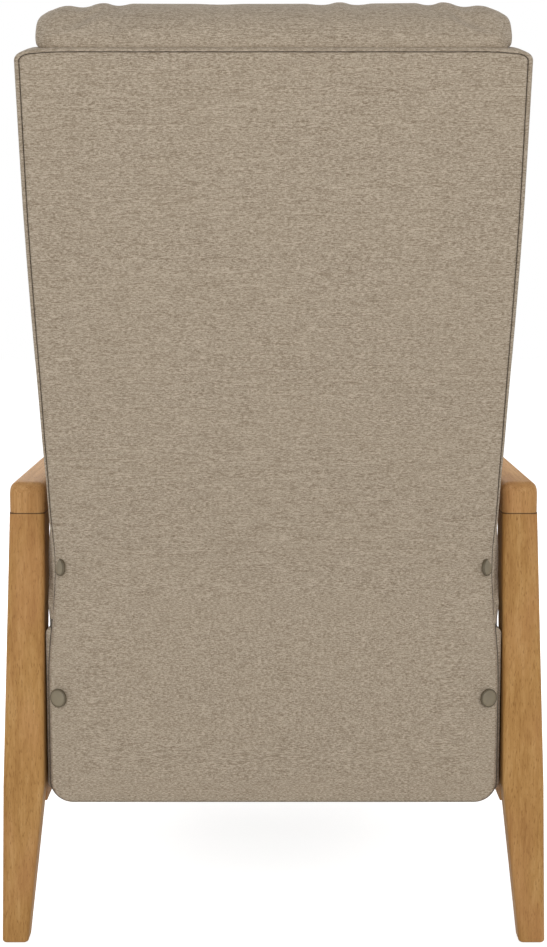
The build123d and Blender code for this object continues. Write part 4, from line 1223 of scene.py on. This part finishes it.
# Share of the radius and height, from the foot of the stud over the rim to the domed face
button_profile = (
    (0.34, -button_stud), (0.34, -0.0016), (0.9, -0.0010), (1.0, 0.0), (1.0, 0.0018),
    (0.985, 0.0026), (0.94, 0.0032), (0.885, 0.0032), (0.86, 0.0026),
    (0.84, 0.0026), (0.815, 0.0031), (0.70, 0.0036), (0.45, 0.0040), (0.2, 0.0042),
)
lower_low, lower_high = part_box("lower_snap_buttons")
# Each pair: word, body, place across, place behind the rear face, height, direction and radius
button_pairs = (
    ("lower", "base", 0.2607, 0.0012, (lower_low.z + lower_high.z) / 2, (0.52, 1, 0.02), 0.0114),
    ("upper", "back", 0.2556, 0.0040, 0.4617, (1.4, 1, 0.03), 0.0108),
)


def make_button(name, centre, out, radius):
    """A shallow domed cap in a darker rim, facing along out."""
    across = out.cross(Vector((0, 0, 1))).normalized()
    up = across.cross(out).normalized()
    around = 48
    points, faces = [], []
    for share, height in button_profile:
        for index in range(around):
            turn = 2 * pi * index / around
            points.append(centre + (across * cos(turn) + up * sin(turn)) * radius * share + out * height)
    for ring in range(len(button_profile) - 1):
        faces += band(ring * around, (ring + 1) * around, around)
    last = (len(button_profile) - 1) * around
    points.append(centre + out * button_top)
    for index in range(around):
        faces.append((last + index, last + (index + 1) % around, len(points) - 1))
    faces.append(tuple(range(around))[::-1])
    made = piece_from(name, points, faces, button_rim)
    made.data.materials.append(button_face)
    for face in made.data.polygons:
        offset = Vector(face.center) - centre
        if (offset - out * offset.dot(out)).length < radius * face_share:
            face.material_index = 1
    return made


for side, word in sides:
    for pair, body, across, behind, height, (out_x, out_y, out_z), radius in button_pairs:
        place = Vector((side * across, rear_y + behind, height))
        facing = Vector((side * out_x, out_y, out_z)).normalized()
        button = make_button(f"{pair}_button_{word}", place, facing, radius)
        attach(button, body)
        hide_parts(f"{pair}_snap_buttons")


# Stage, light and camera

floor_reach = 12.0
floor_glow = 0.8
sky_strength = 0.47
camera_lens = 67.02
camera_place = (0, 2.401, 0.8302)
camera_dip = 6.97


def emitter(name, place, target, size, watts):
    """A rectangular light at a place, aimed at a target."""
    light = bpy.data.lights.new(name, "AREA")
    light.shape = "RECTANGLE"
    light.size, light.size_y = size
    light.energy = watts
    made = added(name, light)
    made.location = place
    made.rotation_euler = (Vector(target) - Vector(place)).to_track_quat("-Z", "Y").to_euler()


def show_to_camera(tree, output, lighting, shown):
    """Light the scene by one shader, and show another to the camera, in mirrors and through glass."""
    rays = node(tree, "LightPath")
    seen = math(tree, "MAXIMUM", rays.outputs["Is Camera Ray"], rays.outputs["Is Glossy Ray"])
    seen = math(tree, "MAXIMUM", seen, rays.outputs["Is Transmission Ray"])
    chosen = node(tree, "MixShader", {0: seen, 1: lighting.outputs[0], 2: shown.outputs[0]})
    tree.links.new(chosen.outputs[0], tree.nodes[output].inputs["Surface"])


def make_floor():
    """A wide white floor that shows as white and keeps a faint shadow."""
    mesh = bpy.data.meshes.new("floor")
    corners = [(x * floor_reach, y * floor_reach, 0) for x, y in ((-1, -1), (1, -1), (1, 1), (-1, 1))]
    mesh.from_pydata(corners, [], [(0, 1, 2, 3)])
    made = added("floor", mesh)
    material, tree, principled = blank(
        "white_floor", Base_Color=(0.8, 0.8, 0.8, 1), Roughness=0.9, Specular_IOR_Level=0.0
    )
    glow = node(tree, "Emission", {"Strength": floor_glow})
    both = node(tree, "AddShader", {0: principled.outputs[0], 1: glow.outputs[0]})
    show_to_camera(tree, "Material Output", principled, both)
    made.data.materials.append(material)


def make_world():
    """Even white light from all round, which shows as plain white."""
    world = bpy.data.worlds.new("studio")
    scene.world = world
    world.use_nodes = True
    background = world.node_tree.nodes["Background"]
    background.inputs["Color"].default_value = (1, 1, 1, 1)
    background.inputs["Strength"].default_value = sky_strength
    white = node(world.node_tree, "Background", {"Color": (1, 1, 1, 1), "Strength": 1.0})
    show_to_camera(world.node_tree, "World Output", background, white)


make_floor()
make_world()
emitter("rear_key", (-0.7, 3.5, 2.2), (0, 0.2, 0.5), (1.5, 1.2), 27)
emitter("rear_fill", (0.6, 3.3, 1.0), (0, 0.2, 0.35), (1.4, 1.2), 15)
emitter("front_fill", (0.6, -2.8, 2.2), (0, 0, 0.5), (2.2, 1.6), 36)
for side in (1, -1):
    emitter("side_fill", (side * 2.6, -1.4, 1.7), (0, -0.1, 0.5), (1.6, 1.4), 16)

camera_data = bpy.data.cameras.new("camera")
camera_data.lens = camera_lens
camera_data.sensor_width = 36.0
camera = added("camera", camera_data)
camera.location = camera_place
camera.rotation_euler = (radians(90 - camera_dip), 0, radians(180))
scene.camera = camera

scene.view_settings.view_transform = "Standard"
